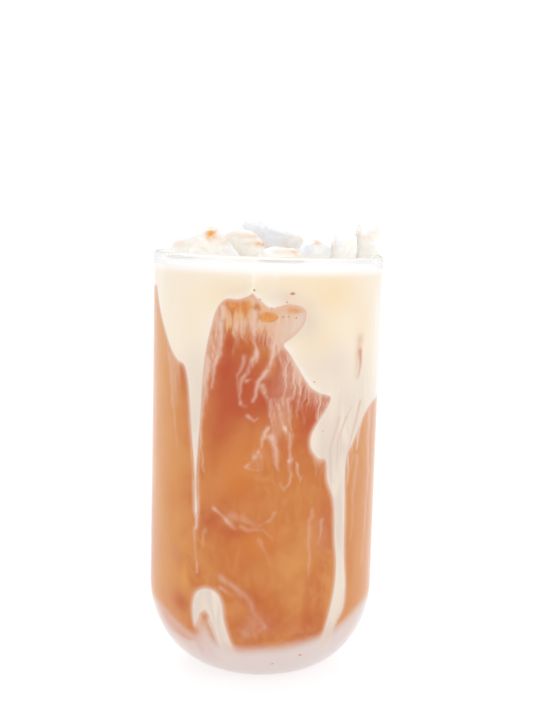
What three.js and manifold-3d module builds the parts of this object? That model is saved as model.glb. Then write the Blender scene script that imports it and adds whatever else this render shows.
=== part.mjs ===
// A tall glass of iced Thai tea: a round-bottomed tumbler of orange tea, with milk poured in at the top
// that hangs down the wall in lobes and has settled at the bottom, and lumps of ice above the rim.
// Millimetres, +Z up. The glass stands on z = 0 with its axis on the Z axis, and its front faces -Y.
import * as THREE from "three";
import { mergeVertices } from "three/addons/utils/BufferGeometryUtils.js";
import Module from "manifold-3d";

const wasm = await Module();
wasm.setup();

// Glass
const GLASS_HEIGHT = 143.4;
const RIM_RADIUS = 39;
const WALL_TAPER = 0.0016;
const WALL_THICKNESS = 1.9;
const FOOT_RADIUS = 14;
const CORNER_HEIGHT = 29.5;
const BASE_THICKNESS = 4.5;
const INNER_CORNER_TOP = 30;
const INNER_FLAT_RADIUS = 10;
const LIP_RADIUS = WALL_THICKNESS / 2;
const CORNER_STEPS = 8;
const LIP_STEPS = 4;
const TURN_STEPS = 42;

// Drink
const GAP = 0.3;
const LEVEL = GLASS_HEIGHT - 2.6;
const MILK_SKIN = 4;
const SLAB_FLOOR = 132;
const POOL_HEIGHT = 21;
const POOL_TILT = { back: 9.5, right: 4.4 };
const OUTLINE_SHARE = 2;
const FAR = 50;

// Outlines of the milk on the front wall, as x and z seen from the front
const LEFT_LOBE = [
  [-35.8, 136], [-35.4, 131], [-34.2, 124], [-32.4, 117.8], [-29.9, 111.4], [-27.8, 108.6], [-26, 107.8],
  [-24.6, 103.5], [-23.2, 87], [-21.9, 70.5], [-21.2, 59], [-20.6, 59], [-20.7, 70.5], [-20.1, 87],
  [-19.1, 109], [-17.3, 119.8], [-15.2, 127], [-12.8, 129.7], [-9, 129.8], [-4.5, 132], [-4, 136],
];
const RIGHT_LOBE = [
  [-6, 136], [-4.5, 131.6], [-1.6, 129.1], [0.9, 127.3], [4, 128], [7, 128.7], [11.7, 127], [11.2, 122.4],
  [7.9, 118.6], [5.2, 116.1], [7.4, 112.9], [11.7, 105.6], [14.2, 102.2], [17.2, 100.2], [20.4, 99],
  [19.6, 96], [16.2, 90.3], [14.6, 86.5], [14.8, 82.5], [17.4, 79], [19.4, 78.6], [20.2, 72], [22.4, 65],
  [23.3, 51.4], [24.1, 43], [23.6, 34], [22, 26], [20.2, 19.3], [17, 12], [20, 10], [24.4, 21.8],
  [27, 27], [27.6, 34], [26.9, 45], [26.6, 60], [26.6, 79], [28.2, 82.4], [30.4, 87.4], [33, 93],
  [36.5, 96], [40, 97], [40, 136],
];
const HOOK = [
  [-19.3, 24], [-18.5, 26.8], [-16.7, 27], [-15.3, 24.9], [-12.8, 17.9], [-9, 9], [-4.6, 9.5],
  [-8.3, 16.8], [-11.1, 25.6], [-11.9, 31], [-13.7, 34.4], [-16.9, 35.4], [-20.1, 33.7], [-21.4, 30.3],
  [-21.4, 25], [-20.4, 21.2],
];

// Rounded tongues of milk round the sides and back: bearing from the front, half width, lowest point
const TONGUES = [
  { bearing: 98, half: 19, tip: 96 },
  { bearing: 104, half: 7, tip: 66 },
  { bearing: 146, half: 14, tip: 109 },
  { bearing: 187, half: 11, tip: 84 },
  { bearing: 226, half: 15, tip: 113 },
  { bearing: 264, half: 7, tip: 101 },
];

// Ice lumps: middle, half sizes, turns about X, Y and Z in degrees, and how square they are
const ICE = [
  { name: "ice_left", at: [-22, -8.6, 137.7], half: [12.6, 11, 12.4], turn: [6, -24, 14], power: 2.9 },
  { name: "ice_middle", at: [-11, 6.6, 139.4], half: [9.6, 8.2, 11.6], turn: [0, 12, -8], power: 3.2 },
  { name: "ice_slab", at: [-1, 24, 139.2], half: [12.4, 7.2, 12.8], turn: [-6, 14, 3], power: 6.5 },
  { name: "ice_front", at: [3.8, -21.6, 136.6], half: [9.2, 7.6, 9], turn: [0, 10, 6], power: 2.6 },
  { name: "ice_small", at: [14.4, -5.6, 138.5], half: [6.4, 6.8, 9.4], turn: [5, 20, 20], power: 3.2 },
  { name: "ice_hump", at: [25.1, -5, 141.9], half: [4.1, 7.4, 9.8], turn: [3, 4, 2], power: 5 },
  { name: "ice_finger", at: [33.2, 0, 143.5], half: [4, 5.6, 11.8], turn: [0, 2, 4], power: 4.6 },
  { name: "ice_centre", at: [8.2, 8.4, 135.6], half: [8.4, 7.4, 8.8], turn: [5, -8, 35], power: 3.4 },
  { name: "ice_back_left", at: [-24, 13.6, 136.6], half: [8.2, 8, 8.6], turn: [8, 0, 30], power: 3.4 },
  { name: "ice_back_small", at: [-17, 26, 137], half: [4.6, 5, 7.4], turn: [0, 12, 24], power: 3 },
  { name: "ice_back_right", at: [24.4, 14.6, 135.8], half: [7.4, 7.6, 8.6], turn: [-9, 0, -28], power: 3.4 },
];
const ICE_INSET = 1.6;
const ICE_DETAIL = 2;
const ICE_WOBBLE = 0.05;
const ICE_WAVES = [3.1, 2.3, 4.7];

const radians = THREE.MathUtils.degToRad;

// Shape helpers

// A closed three.js geometry as a solid: seams welded, collapsed triangles dropped
function solid(geometry) {
  geometry.deleteAttribute("normal");
  geometry.deleteAttribute("uv");
  const welded = mergeVertices(geometry, 1e-4);
  const index = welded.index.array;
  const triangles = [];
  for (let i = 0; i < index.length; i += 3) {
    const [a, b, c] = [index[i], index[i + 1], index[i + 2]];
    if (a !== b && b !== c && c !== a) {
      triangles.push(a, b, c);
    }
  }
  return new wasm.Manifold(new wasm.Mesh({
    numProp: 3,
    vertProperties: new Float32Array(welded.attributes.position.array),
    triVerts: new Uint32Array(triangles),
  }));
}

// A solid turned from a profile of [radius, height] pairs that starts and ends on the axis
function turned(profile) {
  const points = profile.map(([radius, height]) => new THREE.Vector2(radius, height));
  const geometry = new THREE.LatheGeometry(points, TURN_STEPS);
  geometry.rotateX(Math.PI / 2);
  return solid(geometry);
}

// Points of a quarter ellipse from [flat, low] round to [side, high]
function cornerArc(flat, low, side, high) {
  const points = [];
  for (let i = 0; i <= CORNER_STEPS; i += 1) {
    const angle = (Math.PI / 2) * (i / CORNER_STEPS);
    points.push([flat + (side - flat) * Math.sin(angle), high - (high - low) * Math.cos(angle)]);
  }
  return points;
}

// Outer radius of the straight wall at a height
function wallRadius(height) {
  return RIM_RADIUS - WALL_TAPER * (GLASS_HEIGHT - height);
}

// Profile of the hollow's surface, moved inward by an inset, from the axis up to a height
function hollowProfile(inset, top) {
  const side = wallRadius(INNER_CORNER_TOP) - WALL_THICKNESS - inset;
  const corner = cornerArc(INNER_FLAT_RADIUS, BASE_THICKNESS + inset, side, INNER_CORNER_TOP);
  return [[0, BASE_THICKNESS + inset], ...corner, [wallRadius(top) - WALL_THICKNESS - inset, top]];
}

// Profile of the glass's outside, grown by a margin, from the axis up to a height
function outsideProfile(margin, top) {
  const side = wallRadius(CORNER_HEIGHT) + margin;
  const corner = cornerArc(FOOT_RADIUS, -margin, side, CORNER_HEIGHT);
  return [[0, -margin], ...corner, [wallRadius(top) + margin, top]];
}

// A flat outline moved outward by a margin
function grownOutline(points, margin) {
  const count = points.length;
  return points.map((point, i) => {
    const along = points[(i + 1) % count].clone().sub(points[(i + count - 1) % count]).normalize();
    return new THREE.Vector2(point.x + along.y * margin, point.y - along.x * margin);
  });
}

// A smooth closed outline through [x, z] points, anticlockwise, grown by a margin
function smoothOutline(controls, margin) {
  const knots = controls.map(([x, z]) => new THREE.Vector3(x, z, 0));
  const curve = new THREE.CatmullRomCurve3(knots, true, "centripetal");
  const count = OUTLINE_SHARE * controls.length;
  const points = curve.getPoints(count).slice(0, count).map((p) => new THREE.Vector2(p.x, p.y));
  return grownOutline(points, margin);
}

// A prism of an outline drawn on the wall as seen from a bearing, reaching from the axis out past the glass
function wallPrism(outline, bearing) {
  const geometry = new THREE.ExtrudeGeometry(new THREE.Shape(outline), { depth: FAR, bevelEnabled: false });
  geometry.rotateX(Math.PI / 2);
  geometry.rotateZ(radians(bearing));
  return solid(geometry);
}

// Glass: one hollow turned piece with a rounded lip and a flat foot

function makeGlass() {
  const lipHeight = GLASS_HEIGHT - LIP_RADIUS;
  const lipMiddle = wallRadius(lipHeight) - LIP_RADIUS;
  const lip = [];
  for (let i = 1; i < LIP_STEPS; i += 1) {
    const angle = (Math.PI * i) / LIP_STEPS;
    lip.push([lipMiddle + LIP_RADIUS * Math.cos(angle), lipHeight + LIP_RADIUS * Math.sin(angle)]);
  }
  const inside = hollowProfile(0, lipHeight).reverse();
  return turned([...outsideProfile(0, lipHeight), ...lip, ...inside]);
}

// Milk: a slab at the top, lobes down the wall and a pool at the bottom, as one piece

// Outline of a rounded tongue hanging from the slab
function tongueOutline({ half, tip }) {
  const top = SLAB_FLOOR + 4;
  const controls = [];
  for (const share of [0, 0.35, 0.7, 0.92]) {
    controls.push([-half * (1 - 0.75 * share), top - (top - tip) * share]);
  }
  controls.push([0, tip]);
  for (const share of [0.92, 0.7, 0.35, 0]) {
    controls.push([half * (1 - 0.75 * share), top - (top - tip) * share]);
  }
  return controls;
}

// Everything above the slab's floor
function slabSpace(margin) {
  const [floor, top] = [SLAB_FLOOR - margin, 2 * GLASS_HEIGHT];
  return turned([[0, floor], [FAR, floor], [FAR, top], [0, top]]);
}

// Everything below the pool's tilted surface
function poolSpace(margin) {
  const geometry = new THREE.BoxGeometry(3 * FAR, 3 * FAR, FAR);
  geometry.translate(0, 0, margin - FAR / 2);
  geometry.rotateX(radians(POOL_TILT.back));
  geometry.rotateY(-radians(POOL_TILT.right));
  geometry.translate(0, 0, POOL_HEIGHT);
  return solid(geometry);
}

// The space that the milk takes, grown by a margin and not yet trimmed to the hollow
function milkSpace(margin) {
  const skin = turned([...hollowProfile(MILK_SKIN + margin, LEVEL), [0, LEVEL]]);
  let hanging = wallPrism(smoothOutline(LEFT_LOBE, margin), 0);
  for (const outline of [RIGHT_LOBE, HOOK]) {
    hanging = hanging.add(wallPrism(smoothOutline(outline, margin), 0));
  }
  for (const tongue of TONGUES) {
    hanging = hanging.add(wallPrism(smoothOutline(tongueOutline(tongue), margin), tongue.bearing));
  }
  return hanging.subtract(skin).add(slabSpace(margin)).add(poolSpace(margin));
}

// Ice: rounded cubes, worn uneven

function iceSolid({ at, half, turn, power }, margin) {
  const geometry = new THREE.IcosahedronGeometry(1, ICE_DETAIL);
  const position = geometry.attributes.position;
  const [wx, wy, wz] = ICE_WAVES;
  const point = new THREE.Vector3();
  for (let i = 0; i < position.count; i += 1) {
    point.fromBufferAttribute(position, i);
    const reach = Math.abs(point.x) ** power + Math.abs(point.y) ** power + Math.abs(point.z) ** power;
    const wave = Math.sin(wx * point.x + at[0]) * Math.sin(wy * point.y + at[1]) + Math.sin(wz * point.z + at[0]);
    point.multiplyScalar((1 + ICE_WOBBLE * wave) / reach ** (1 / power));
    position.setXYZ(i, point.x * (half[0] + margin), point.y * (half[1] + margin), point.z * (half[2] + margin));
  }
  geometry.applyMatrix4(new THREE.Matrix4().makeRotationFromEuler(new THREE.Euler(...turn.map(radians))));
  geometry.translate(...at);
  return solid(geometry);
}

// Where ice can be: well inside the hollow, so that milk covers it at the wall, and anywhere above the lip
function iceSpace() {
  const hollow = turned([...hollowProfile(ICE_INSET, GLASS_HEIGHT + GAP), [0, GLASS_HEIGHT + GAP]]);
  const above = turned([[0, GLASS_HEIGHT + GAP], [FAR, GLASS_HEIGHT + GAP], [FAR, 2 * GLASS_HEIGHT],
    [0, 2 * GLASS_HEIGHT]]);
  return hollow.add(above);
}

// Scene graph

const GLASS_LOOK = new THREE.MeshStandardMaterial({ color: 0xf2f6f6, roughness: 0.03, metalness: 0 });
GLASS_LOOK.transparent = true;
GLASS_LOOK.opacity = 0.25;
const MILK_LOOK = new THREE.MeshStandardMaterial({ color: 0xf3e4c6, roughness: 0.35, metalness: 0 });
const TEA_LOOK = new THREE.MeshStandardMaterial({ color: 0xc9753a, roughness: 0.25, metalness: 0 });
const ICE_LOOK = new THREE.MeshStandardMaterial({ color: 0xf4efe8, roughness: 0.1, metalness: 0 });

function meshOf(name, body, look) {
  const { vertProperties, triVerts } = body.getMesh();
  const geometry = new THREE.BufferGeometry();
  geometry.setAttribute("position", new THREE.BufferAttribute(vertProperties, 3));
  geometry.setIndex(new THREE.BufferAttribute(triVerts, 1));
  const mesh = new THREE.Mesh(geometry, look);
  mesh.name = name;
  return mesh;
}

const drink = turned([...hollowProfile(GAP, LEVEL), [0, LEVEL]]);
let free = iceSpace();
let milk = drink.intersect(milkSpace(0));
let tea = drink.subtract(milkSpace(GAP));

const part = new THREE.Group();
part.add(meshOf("glass", makeGlass(), GLASS_LOOK));
for (const lump of ICE) {
  part.add(meshOf(lump.name, iceSolid(lump, 0).intersect(free), ICE_LOOK));
  const room = iceSolid(lump, GAP);
  free = free.subtract(room);
  milk = milk.subtract(room);
  tea = tea.subtract(room);
}
part.add(meshOf("milk", milk, MILK_LOOK));
part.add(meshOf("tea", tea, TEA_LOOK));

export default part;
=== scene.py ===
# %% [markdown]
# # Iced Thai tea in a tall glass
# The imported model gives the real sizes: a round-bottomed tumbler, orange milky tea, milk that hangs
# down the inside of the wall, and lumps of ice above the rim. This lesson dresses it. Each piece is
# rebuilt as a finer mesh of the same form, and each finish is a material made of nodes.

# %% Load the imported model
import math

import bpy
import numpy as np
from mathutils import Matrix, Vector, noise


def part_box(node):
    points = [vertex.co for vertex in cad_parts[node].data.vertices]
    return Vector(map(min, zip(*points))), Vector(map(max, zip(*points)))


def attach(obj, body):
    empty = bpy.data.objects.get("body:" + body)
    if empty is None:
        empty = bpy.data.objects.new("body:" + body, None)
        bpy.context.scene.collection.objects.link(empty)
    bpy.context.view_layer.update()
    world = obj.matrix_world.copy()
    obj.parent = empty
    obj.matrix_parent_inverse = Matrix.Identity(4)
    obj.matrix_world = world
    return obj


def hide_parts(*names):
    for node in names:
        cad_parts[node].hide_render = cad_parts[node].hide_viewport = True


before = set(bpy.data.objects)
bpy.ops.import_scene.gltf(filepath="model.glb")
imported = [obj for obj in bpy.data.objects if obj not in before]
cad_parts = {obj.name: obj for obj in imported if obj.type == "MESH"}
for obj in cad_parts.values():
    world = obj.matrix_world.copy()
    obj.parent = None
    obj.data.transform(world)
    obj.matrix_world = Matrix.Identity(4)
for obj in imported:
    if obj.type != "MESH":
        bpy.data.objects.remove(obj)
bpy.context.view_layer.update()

MM = 0.001

# %% [markdown]
# ## Sizes
# The glass's height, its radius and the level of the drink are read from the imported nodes. The rest
# of its profile is written here in millimetres: a nearly straight wall that ends in a quarter of an
# ellipse, and a small flat foot.

# %% Named sizes, in millimetres
GLASS_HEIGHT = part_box("glass")[1].z / MM
RIM_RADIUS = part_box("glass")[1].y / MM
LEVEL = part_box("milk")[1].z / MM
WALL_TAPER = 0.0016
WALL_THICKNESS = 1.9
FOOT_RADIUS = 14
CORNER_HEIGHT = 29.5
BASE_THICKNESS = 4.5
INNER_CORNER_TOP = 30
INNER_FLAT_RADIUS = 10
MILK_SKIN = 4
SKIN_STEPS, SKIN_ROW = 120, 10
SLAB_STEPS = 60
SLAB_FLOOR = 132
POOL_HEIGHT = 21
POOL_TILT = (math.radians(9.5), math.radians(4.4))
FAR = 50
INTO_WALL = 0.08
WALL_RADIUS = 37
print("glass", round(GLASS_HEIGHT, 1), "mm high, level at", round(LEVEL, 1))


def wall_radius(height):
    """Outer radius of the straight wall at a height."""
    return RIM_RADIUS - WALL_TAPER * (GLASS_HEIGHT - height)


# %% [markdown]
# ## The camera
# The photograph was taken from a little above the rim, 40 cm away, tilted down by 7 degrees and rolled
# by a degree and a half. The lens is the one that gives the glass its width in a frame 710 pixels
# high, whose long side Blender matches to the sensor's 36 mm.

# %% Camera
FRAME_LONG_SIDE = 710
PIXELS_PER_MM = 2.9121
CAMERA_DISTANCE = 400
RIM_ELEVATION = math.radians(2.14)
CAMERA_PITCH = math.radians(7.164)
CAMERA_ROLL = math.radians(1.5)
CAMERA_SIDE_STEP = 0.16
SENSOR = 36

camera_data = bpy.data.cameras.new("camera")
camera_data.sensor_width = SENSOR
camera_data.lens = PIXELS_PER_MM * CAMERA_DISTANCE * SENSOR / FRAME_LONG_SIDE
camera_data.clip_start = 0.01
camera = bpy.data.objects.new("camera", camera_data)
bpy.context.scene.collection.objects.link(camera)
camera_height = GLASS_HEIGHT + CAMERA_DISTANCE * math.tan(RIM_ELEVATION)
tilt = Matrix.Rotation(math.pi / 2 - CAMERA_PITCH, 4, "X") @ Matrix.Rotation(CAMERA_ROLL, 4, "Z")
place = Vector((CAMERA_SIDE_STEP, -CAMERA_DISTANCE, camera_height)) * MM
camera.matrix_world = Matrix.Translation(place) @ tilt
bpy.context.scene.camera = camera
print("lens", round(camera_data.lens, 1), "mm")

# %% [markdown]
# ## Helpers for nodes
# A material is a small network of nodes, and so is the surround. These helpers add a node, set its
# sockets and join it to the others, so that each finish below reads as a list of steps: most are
# tones laid over each other, each by a share that noise or a painted number gives.

# %% Node helpers
def srgb(red, green, blue):
    """A screen's colour, from 0 to 255, as the linear values that nodes use, by the sRGB curve."""
    values = [v / 255 for v in (red, green, blue)]
    return tuple(v / 12.92 if v <= 0.04045 else ((v + 0.055) / 1.055) ** 2.4 for v in values) + (1,)


class Nodes:
    """The node tree of a new material, or of a new world."""

    def __init__(self, name, kind="Material"):
        library = {"Material": bpy.data.materials, "World": bpy.data.worlds}[kind]
        self.owner = library.new(name)
        self.owner.use_nodes = True
        self.tree = self.owner.node_tree
        self.tree.nodes.clear()
        self.output = self.add("ShaderNodeOutput" + kind)
        self.coordinates = self.add("ShaderNodeTexCoord").outputs
        self.place = self.coordinates["Object"]

    def add(self, kind, settings=None, **sockets):
        node = self.tree.nodes.new(kind)
        for key, value in (settings or {}).items():
            setattr(node, key, value)
        for key, value in sockets.items():
            self.put(node.inputs[key.replace("_", " ")], value)
        return node

    def put(self, socket, value):
        if isinstance(value, bpy.types.NodeSocket):
            self.tree.links.new(value, socket)
        else:
            socket.default_value = value

    def noise(self, scale, detail=3, stretch=(1, 1, 1), roughness=0.5, distortion=0):
        moved = self.add("ShaderNodeMapping", Vector=self.place, Scale=stretch)
        made = self.add("ShaderNodeTexNoise", Vector=moved.outputs[0], Scale=scale, Detail=detail,
                        Roughness=roughness, Distortion=distortion)
        return made.outputs["Fac"]

    def ramp(self, value, low, high, to_low=0, to_high=1):
        """Values from low to high as values from to_low to to_high, with soft ends."""
        settings = {"interpolation_type": "SMOOTHSTEP"}
        made = self.add("ShaderNodeMapRange", settings, Value=value, From_Min=low, From_Max=high,
                        To_Min=to_low, To_Max=to_high)
        return made.outputs[0]

    def math(self, operation, first, second=0.0):
        node = self.add("ShaderNodeMath", {"operation": operation})
        self.put(node.inputs[0], first)
        self.put(node.inputs[1], second)
        return node.outputs[0]

    def times(self, first, second):
        return self.math("MULTIPLY", first, second)

    def attribute(self, name):
        return self.add("ShaderNodeAttribute", {"attribute_name": name}).outputs["Fac"]

    def mix(self, share, first, second):
        node = self.add("ShaderNodeMix", {"data_type": "RGBA"})
        self.put(node.inputs["Factor"], share)
        colours = [socket for socket in node.inputs if socket.type == "RGBA"]
        self.put(colours[0], first)
        self.put(colours[1], second)
        return [socket for socket in node.outputs if socket.type == "RGBA"][0]

    def over(self, colour, layers):
        """Tones laid over a colour, each by its share."""
        for share, tone in layers:
            colour = self.mix(share, colour, tone)
        return colour

    def height(self):
        return self.add("ShaderNodeSeparateXYZ", Vector=self.place).outputs["Z"]

    def bump(self, value, distance, strength=1.0):
        return self.add("ShaderNodeBump", Height=value, Distance=distance, Strength=strength).outputs[0]

    def finish(self, shader):
        self.put(self.output.inputs["Surface"], shader)
        return self.owner


def wear(piece, material):
    piece.data.materials.clear()
    piece.data.materials.append(material)
    print(piece.name, "wears", material.name, "made of", len(material.node_tree.nodes), "nodes")


print("middle grey is", round(srgb(128, 128, 128)[0], 3), "to the nodes")

# %% [markdown]
# ## Light
# A drink photographed on white stands in light from all round. A surround that is white, and a
# little greyer overhead, does that, and the grey gives the ice something to bend. Mirrored rays see it
# slightly dimmer, so that a fine grey line shows the glass against the white. Two soft lamps add a
# little form. The plain "Standard" view keeps the white of the surround white.

# %% Surround and lamps
OVERHEAD = (0.8, 0.83, 0.88, 1)
WHITE_UP_TO, GREY_FROM = 0.35, 0.9
SURROUND_STRENGTH = 1.08
MIRRORED_STRENGTH = 0.78
LAMPS = [
    # name, place in metres, size in metres, power in watts
    ("lamp_front", (0.45, -0.75, 1.05), 0.5, 1.2),
    ("lamp_back", (-0.25, 0.8, 0.9), 0.6, 2.4),
]
LAMPS_AIM_AT = Vector((0, 0, 0.08))

scene = bpy.context.scene
scene.view_settings.view_transform = "Standard"


def surround():
    nodes = Nodes("surround", "World")
    upward = nodes.add("ShaderNodeSeparateXYZ", Vector=nodes.coordinates["Generated"]).outputs["Z"]
    sky = nodes.add("ShaderNodeValToRGB", Fac=upward)
    low, high = sky.color_ramp.elements
    low.position, low.color = WHITE_UP_TO, (1, 1, 1, 1)
    high.position, high.color = GREY_FROM, OVERHEAD
    rays = nodes.add("ShaderNodeLightPath").outputs
    mirrored = nodes.times(rays["Is Reflection Ray"], rays["Is Singular Ray"])
    strength = nodes.add("ShaderNodeMapRange", Value=mirrored, To_Min=SURROUND_STRENGTH,
                         To_Max=MIRRORED_STRENGTH)
    glow = nodes.add("ShaderNodeBackground", Color=sky.outputs[0], Strength=strength.outputs[0])
    return nodes.finish(glow.outputs[0])


def lamp(name, at, size, power):
    data = bpy.data.lights.new(name, "AREA")
    data.size = size
    data.energy = power
    lamp_object = bpy.data.objects.new(name, data)
    scene.collection.objects.link(lamp_object)
    turn = (LAMPS_AIM_AT - Vector(at)).to_track_quat("-Z", "Y").to_matrix().to_4x4()
    lamp_object.matrix_world = Matrix.Translation(at) @ turn


scene.world = surround()
for row in LAMPS:
    lamp(*row)
print(len(LAMPS), "lamps")

# %% [markdown]
# ## Small helpers for meshes
# Every piece here is made in millimetres from arrays of points and faces, and scaled to metres when
# the mesh is made. A turned piece is a profile carried round the axis. The bearings round it don't
# have to be even: the front, where the pattern of milk is seen, gets finer steps than the back. Every
# closed form here is a stack of rings of points, so one helper joins the rings of them all.


# %% Mesh helpers
def new_object(name, points, faces, smooth=True):
    """A mesh object from points in millimetres."""
    mesh = bpy.data.meshes.new(name)
    mesh.from_pydata((np.asarray(points, float) * MM).tolist(), [], faces)
    mesh.update()
    if smooth:
        mesh.shade_smooth()
    made = bpy.data.objects.new(name, mesh)
    scene.collection.objects.link(made)
    return made


def points_of(piece):
    """All points of a piece in millimetres, as rows of an array."""
    flat = np.zeros(len(piece.data.vertices) * 3)
    piece.data.vertices.foreach_get("co", flat)
    return flat.reshape(-1, 3) / MM


def normals_of(piece):
    flat = np.zeros(len(piece.data.vertices) * 3)
    piece.data.vertex_normals.foreach_get("vector", flat)
    return flat.reshape(-1, 3)


def move_points(piece, points):
    """Gives a piece's points new places in millimetres."""
    piece.data.vertices.foreach_set("co", (points * MM).ravel())
    piece.data.update()


def bands(rings, count):
    """Faces between rings that follow each other, each with the same count of points."""
    here = np.arange(rings * count).reshape(rings, count)
    after = np.roll(here, -1, axis=1)
    return np.stack([here[:-1], after[:-1], after[1:], here[1:]], axis=-1).reshape(-1, 4)


def capped(rings, count):
    """Faces of a closed body of rings, with a flat face at each end."""
    every = np.arange(rings * count).tolist()
    return [every[:count][::-1], every[-count:], *bands(rings, count).tolist()]


def turned_form(profile, bearings):
    """Points and faces of a closed body from (radius, height) pairs that start and end on the axis."""
    rings = np.array(profile[1:-1], float)
    count = len(bearings)
    across = np.outer(rings[:, 0], np.sin(bearings))
    along = -np.outer(rings[:, 0], np.cos(bearings))
    up = np.repeat(rings[:, 1], count)
    points = np.vstack([
        [0, 0, profile[0][1]],
        np.column_stack([across.ravel(), along.ravel(), up]),
        [0, 0, profile[-1][1]],
    ])
    here = 1 + np.arange(count)
    pairs = list(zip(here.tolist(), np.roll(here, -1).tolist()))
    last = (len(rings) - 1) * count
    faces = [(0, b, a) for a, b in pairs]
    faces += (1 + bands(len(rings), count)).tolist()
    faces += [(last + a, last + b, len(points) - 1) for a, b in pairs]
    return points, faces


def turned(name, profile, bearings):
    return new_object(name, *turned_form(profile, bearings))


def even_bearings(count):
    """Bearings all round, from the back by the left side."""
    return np.linspace(-math.pi, math.pi, count, endpoint=False)


def quarter_arc(flat, low, side, high, steps):
    """Points of a quarter ellipse from (flat, low) round to (side, high)."""
    angles = np.linspace(0, math.pi / 2, steps + 1)
    return [(flat + (side - flat) * math.sin(a), high - (high - low) * math.cos(a)) for a in angles]


print("a box is closed by", len(capped(2, 4)), "faces")

# %% [markdown]
# ## The glass
# The real glass is one blown piece: a thin wall that closes in a round bottom, a little thicker
# there, and a lip melted round. A turned mesh has all of that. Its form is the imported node's, with
# 160 steps round instead of 42 and a lip in eight steps.

# %% Glass mesh
GLASS_STEPS = 160
LIP_STEPS = 8
CORNER_STEPS = 28
WALL_ROW = 4.0


def wall_rows(start, end, row, inset):
    count = max(1, round(abs(end - start) / row))
    heights = np.linspace(start, end, count + 1)[1:]
    return [(wall_radius(h) - inset, h) for h in heights]


def hollow_profile(outward, top, row):
    """The hollow's surface moved outward, from the axis up to a height."""
    side = wall_radius(INNER_CORNER_TOP) - WALL_THICKNESS + outward
    floor = BASE_THICKNESS - outward
    corner = quarter_arc(INNER_FLAT_RADIUS, floor, side, INNER_CORNER_TOP, CORNER_STEPS)
    rows = wall_rows(INNER_CORNER_TOP, top, row, WALL_THICKNESS - outward)
    return [(0, floor), (INNER_FLAT_RADIUS / 2, floor), *corner, *rows]


def glass_profile():
    lip_radius = WALL_THICKNESS / 2
    lip_height = GLASS_HEIGHT - lip_radius
    outside = quarter_arc(FOOT_RADIUS, 0, wall_radius(CORNER_HEIGHT), CORNER_HEIGHT, CORNER_STEPS)
    rows = wall_rows(CORNER_HEIGHT, lip_height, WALL_ROW, 0)
    lip_middle = wall_radius(lip_height) - lip_radius
    angles = np.linspace(0, math.pi, LIP_STEPS + 1)[1:-1]
    lip = [(lip_middle + lip_radius * math.cos(a), lip_height + lip_radius * math.sin(a)) for a in angles]
    inside = hollow_profile(0, lip_height, WALL_ROW)[::-1]
    return [(0, 0), (FOOT_RADIUS / 2, 0), *outside, *rows, *lip, *inside]


glass = turned("glass_shell", glass_profile(), even_bearings(GLASS_STEPS))
print("glass:", len(glass.data.polygons), "faces")

# %% [markdown]
# Clear glass bends light, which the Principled shader does when its transmission is full. Light would
# only reach the drink by rare paths through two bent surfaces, so rays to the lamps and rays that the
# drink scatters see a plain clear film instead: the drink is lit cleanly, and the eye still sees bent
# glass. In a white surround, clear glass mirrors so much white that the tea behind it looks milky. The
# low specular level takes that veil off where the glass is seen straight on, and leaves its edges.


# %% Glass material
def film_for_light(nodes, shader, tint, kinds=("Is Diffuse Ray", "Is Shadow Ray")):
    """A bent, see-through shader that scattered light and shadow rays pass as a plain film."""
    rays = nodes.add("ShaderNodeLightPath")
    for kind in kinds:
        film = nodes.add("ShaderNodeBsdfTransparent", Color=tint)
        mixed = nodes.add("ShaderNodeMixShader")
        nodes.put(mixed.inputs[0], rays.outputs[kind])
        nodes.put(mixed.inputs[1], shader)
        nodes.put(mixed.inputs[2], film.outputs[0])
        shader = mixed.outputs[0]
    return shader


def glass_material():
    nodes = Nodes("clear_glass")
    shader = nodes.add("ShaderNodeBsdfPrincipled", Base_Color=(1, 1, 1, 1), Roughness=0.0, IOR=1.5,
                       Specular_IOR_Level=0.1, Transmission_Weight=1.0)
    return nodes.finish(film_for_light(nodes, shader.outputs[0], (0.98, 0.985, 0.985, 1)))


wear(glass, glass_material())
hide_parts("glass")
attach(glass, "root")

# %% [markdown]
# ## Ice
# The lumps are cubes that have half melted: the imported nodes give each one's place and form with few
# faces. A copy of each is remeshed finely, smoothed until its edges are round, swelled by what the
# smoothing took, and pushed in and out a little by noise, as melting does. The tall slab has just
# been broken off, so it stays sharper.

# %% Melted ice meshes
ICE_VOXEL = 0.5
ICE_SMOOTHING = 9
SHARP_SMOOTHING = {"ice_slab": 3, "ice_hump": 4, "ice_finger": 5}
MELT_DEPTH = 0.45
SWELL = 0.12
MELT_SCALE = 0.11
FINE_MELT_SCALE = 3 * MELT_SCALE
FINE_MELT_SHARE = 0.35
ICE_NODES = sorted(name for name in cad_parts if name.startswith("ice_"))


def made_real(piece):
    """Turns the piece's modifiers into mesh."""
    bpy.context.view_layer.update()
    mesh = bpy.data.meshes.new_from_object(piece.evaluated_get(bpy.context.evaluated_depsgraph_get()))
    piece.modifiers.clear()
    piece.data = mesh


def melt(point):
    """How far melting has pushed a point of the ice in or out, before its depth is set."""
    spot = Vector(point)
    return noise.noise(spot * MELT_SCALE) + FINE_MELT_SHARE * noise.noise(spot * FINE_MELT_SCALE)


def melted(node):
    piece = bpy.data.objects.new(node + "_melted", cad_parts[node].data.copy())
    scene.collection.objects.link(piece)
    remesh = piece.modifiers.new("remesh", "REMESH")
    remesh.mode = "VOXEL"
    remesh.voxel_size = ICE_VOXEL * MM
    smooth = piece.modifiers.new("smooth", "SMOOTH")
    smooth.iterations = SHARP_SMOOTHING.get(node, ICE_SMOOTHING)
    made_real(piece)
    points = points_of(piece)
    push = np.array([melt(point) for point in points])[:, None]
    move_points(piece, points + normals_of(piece) * (SWELL + MELT_DEPTH * push))
    piece.data.shade_smooth()
    return piece


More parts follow.
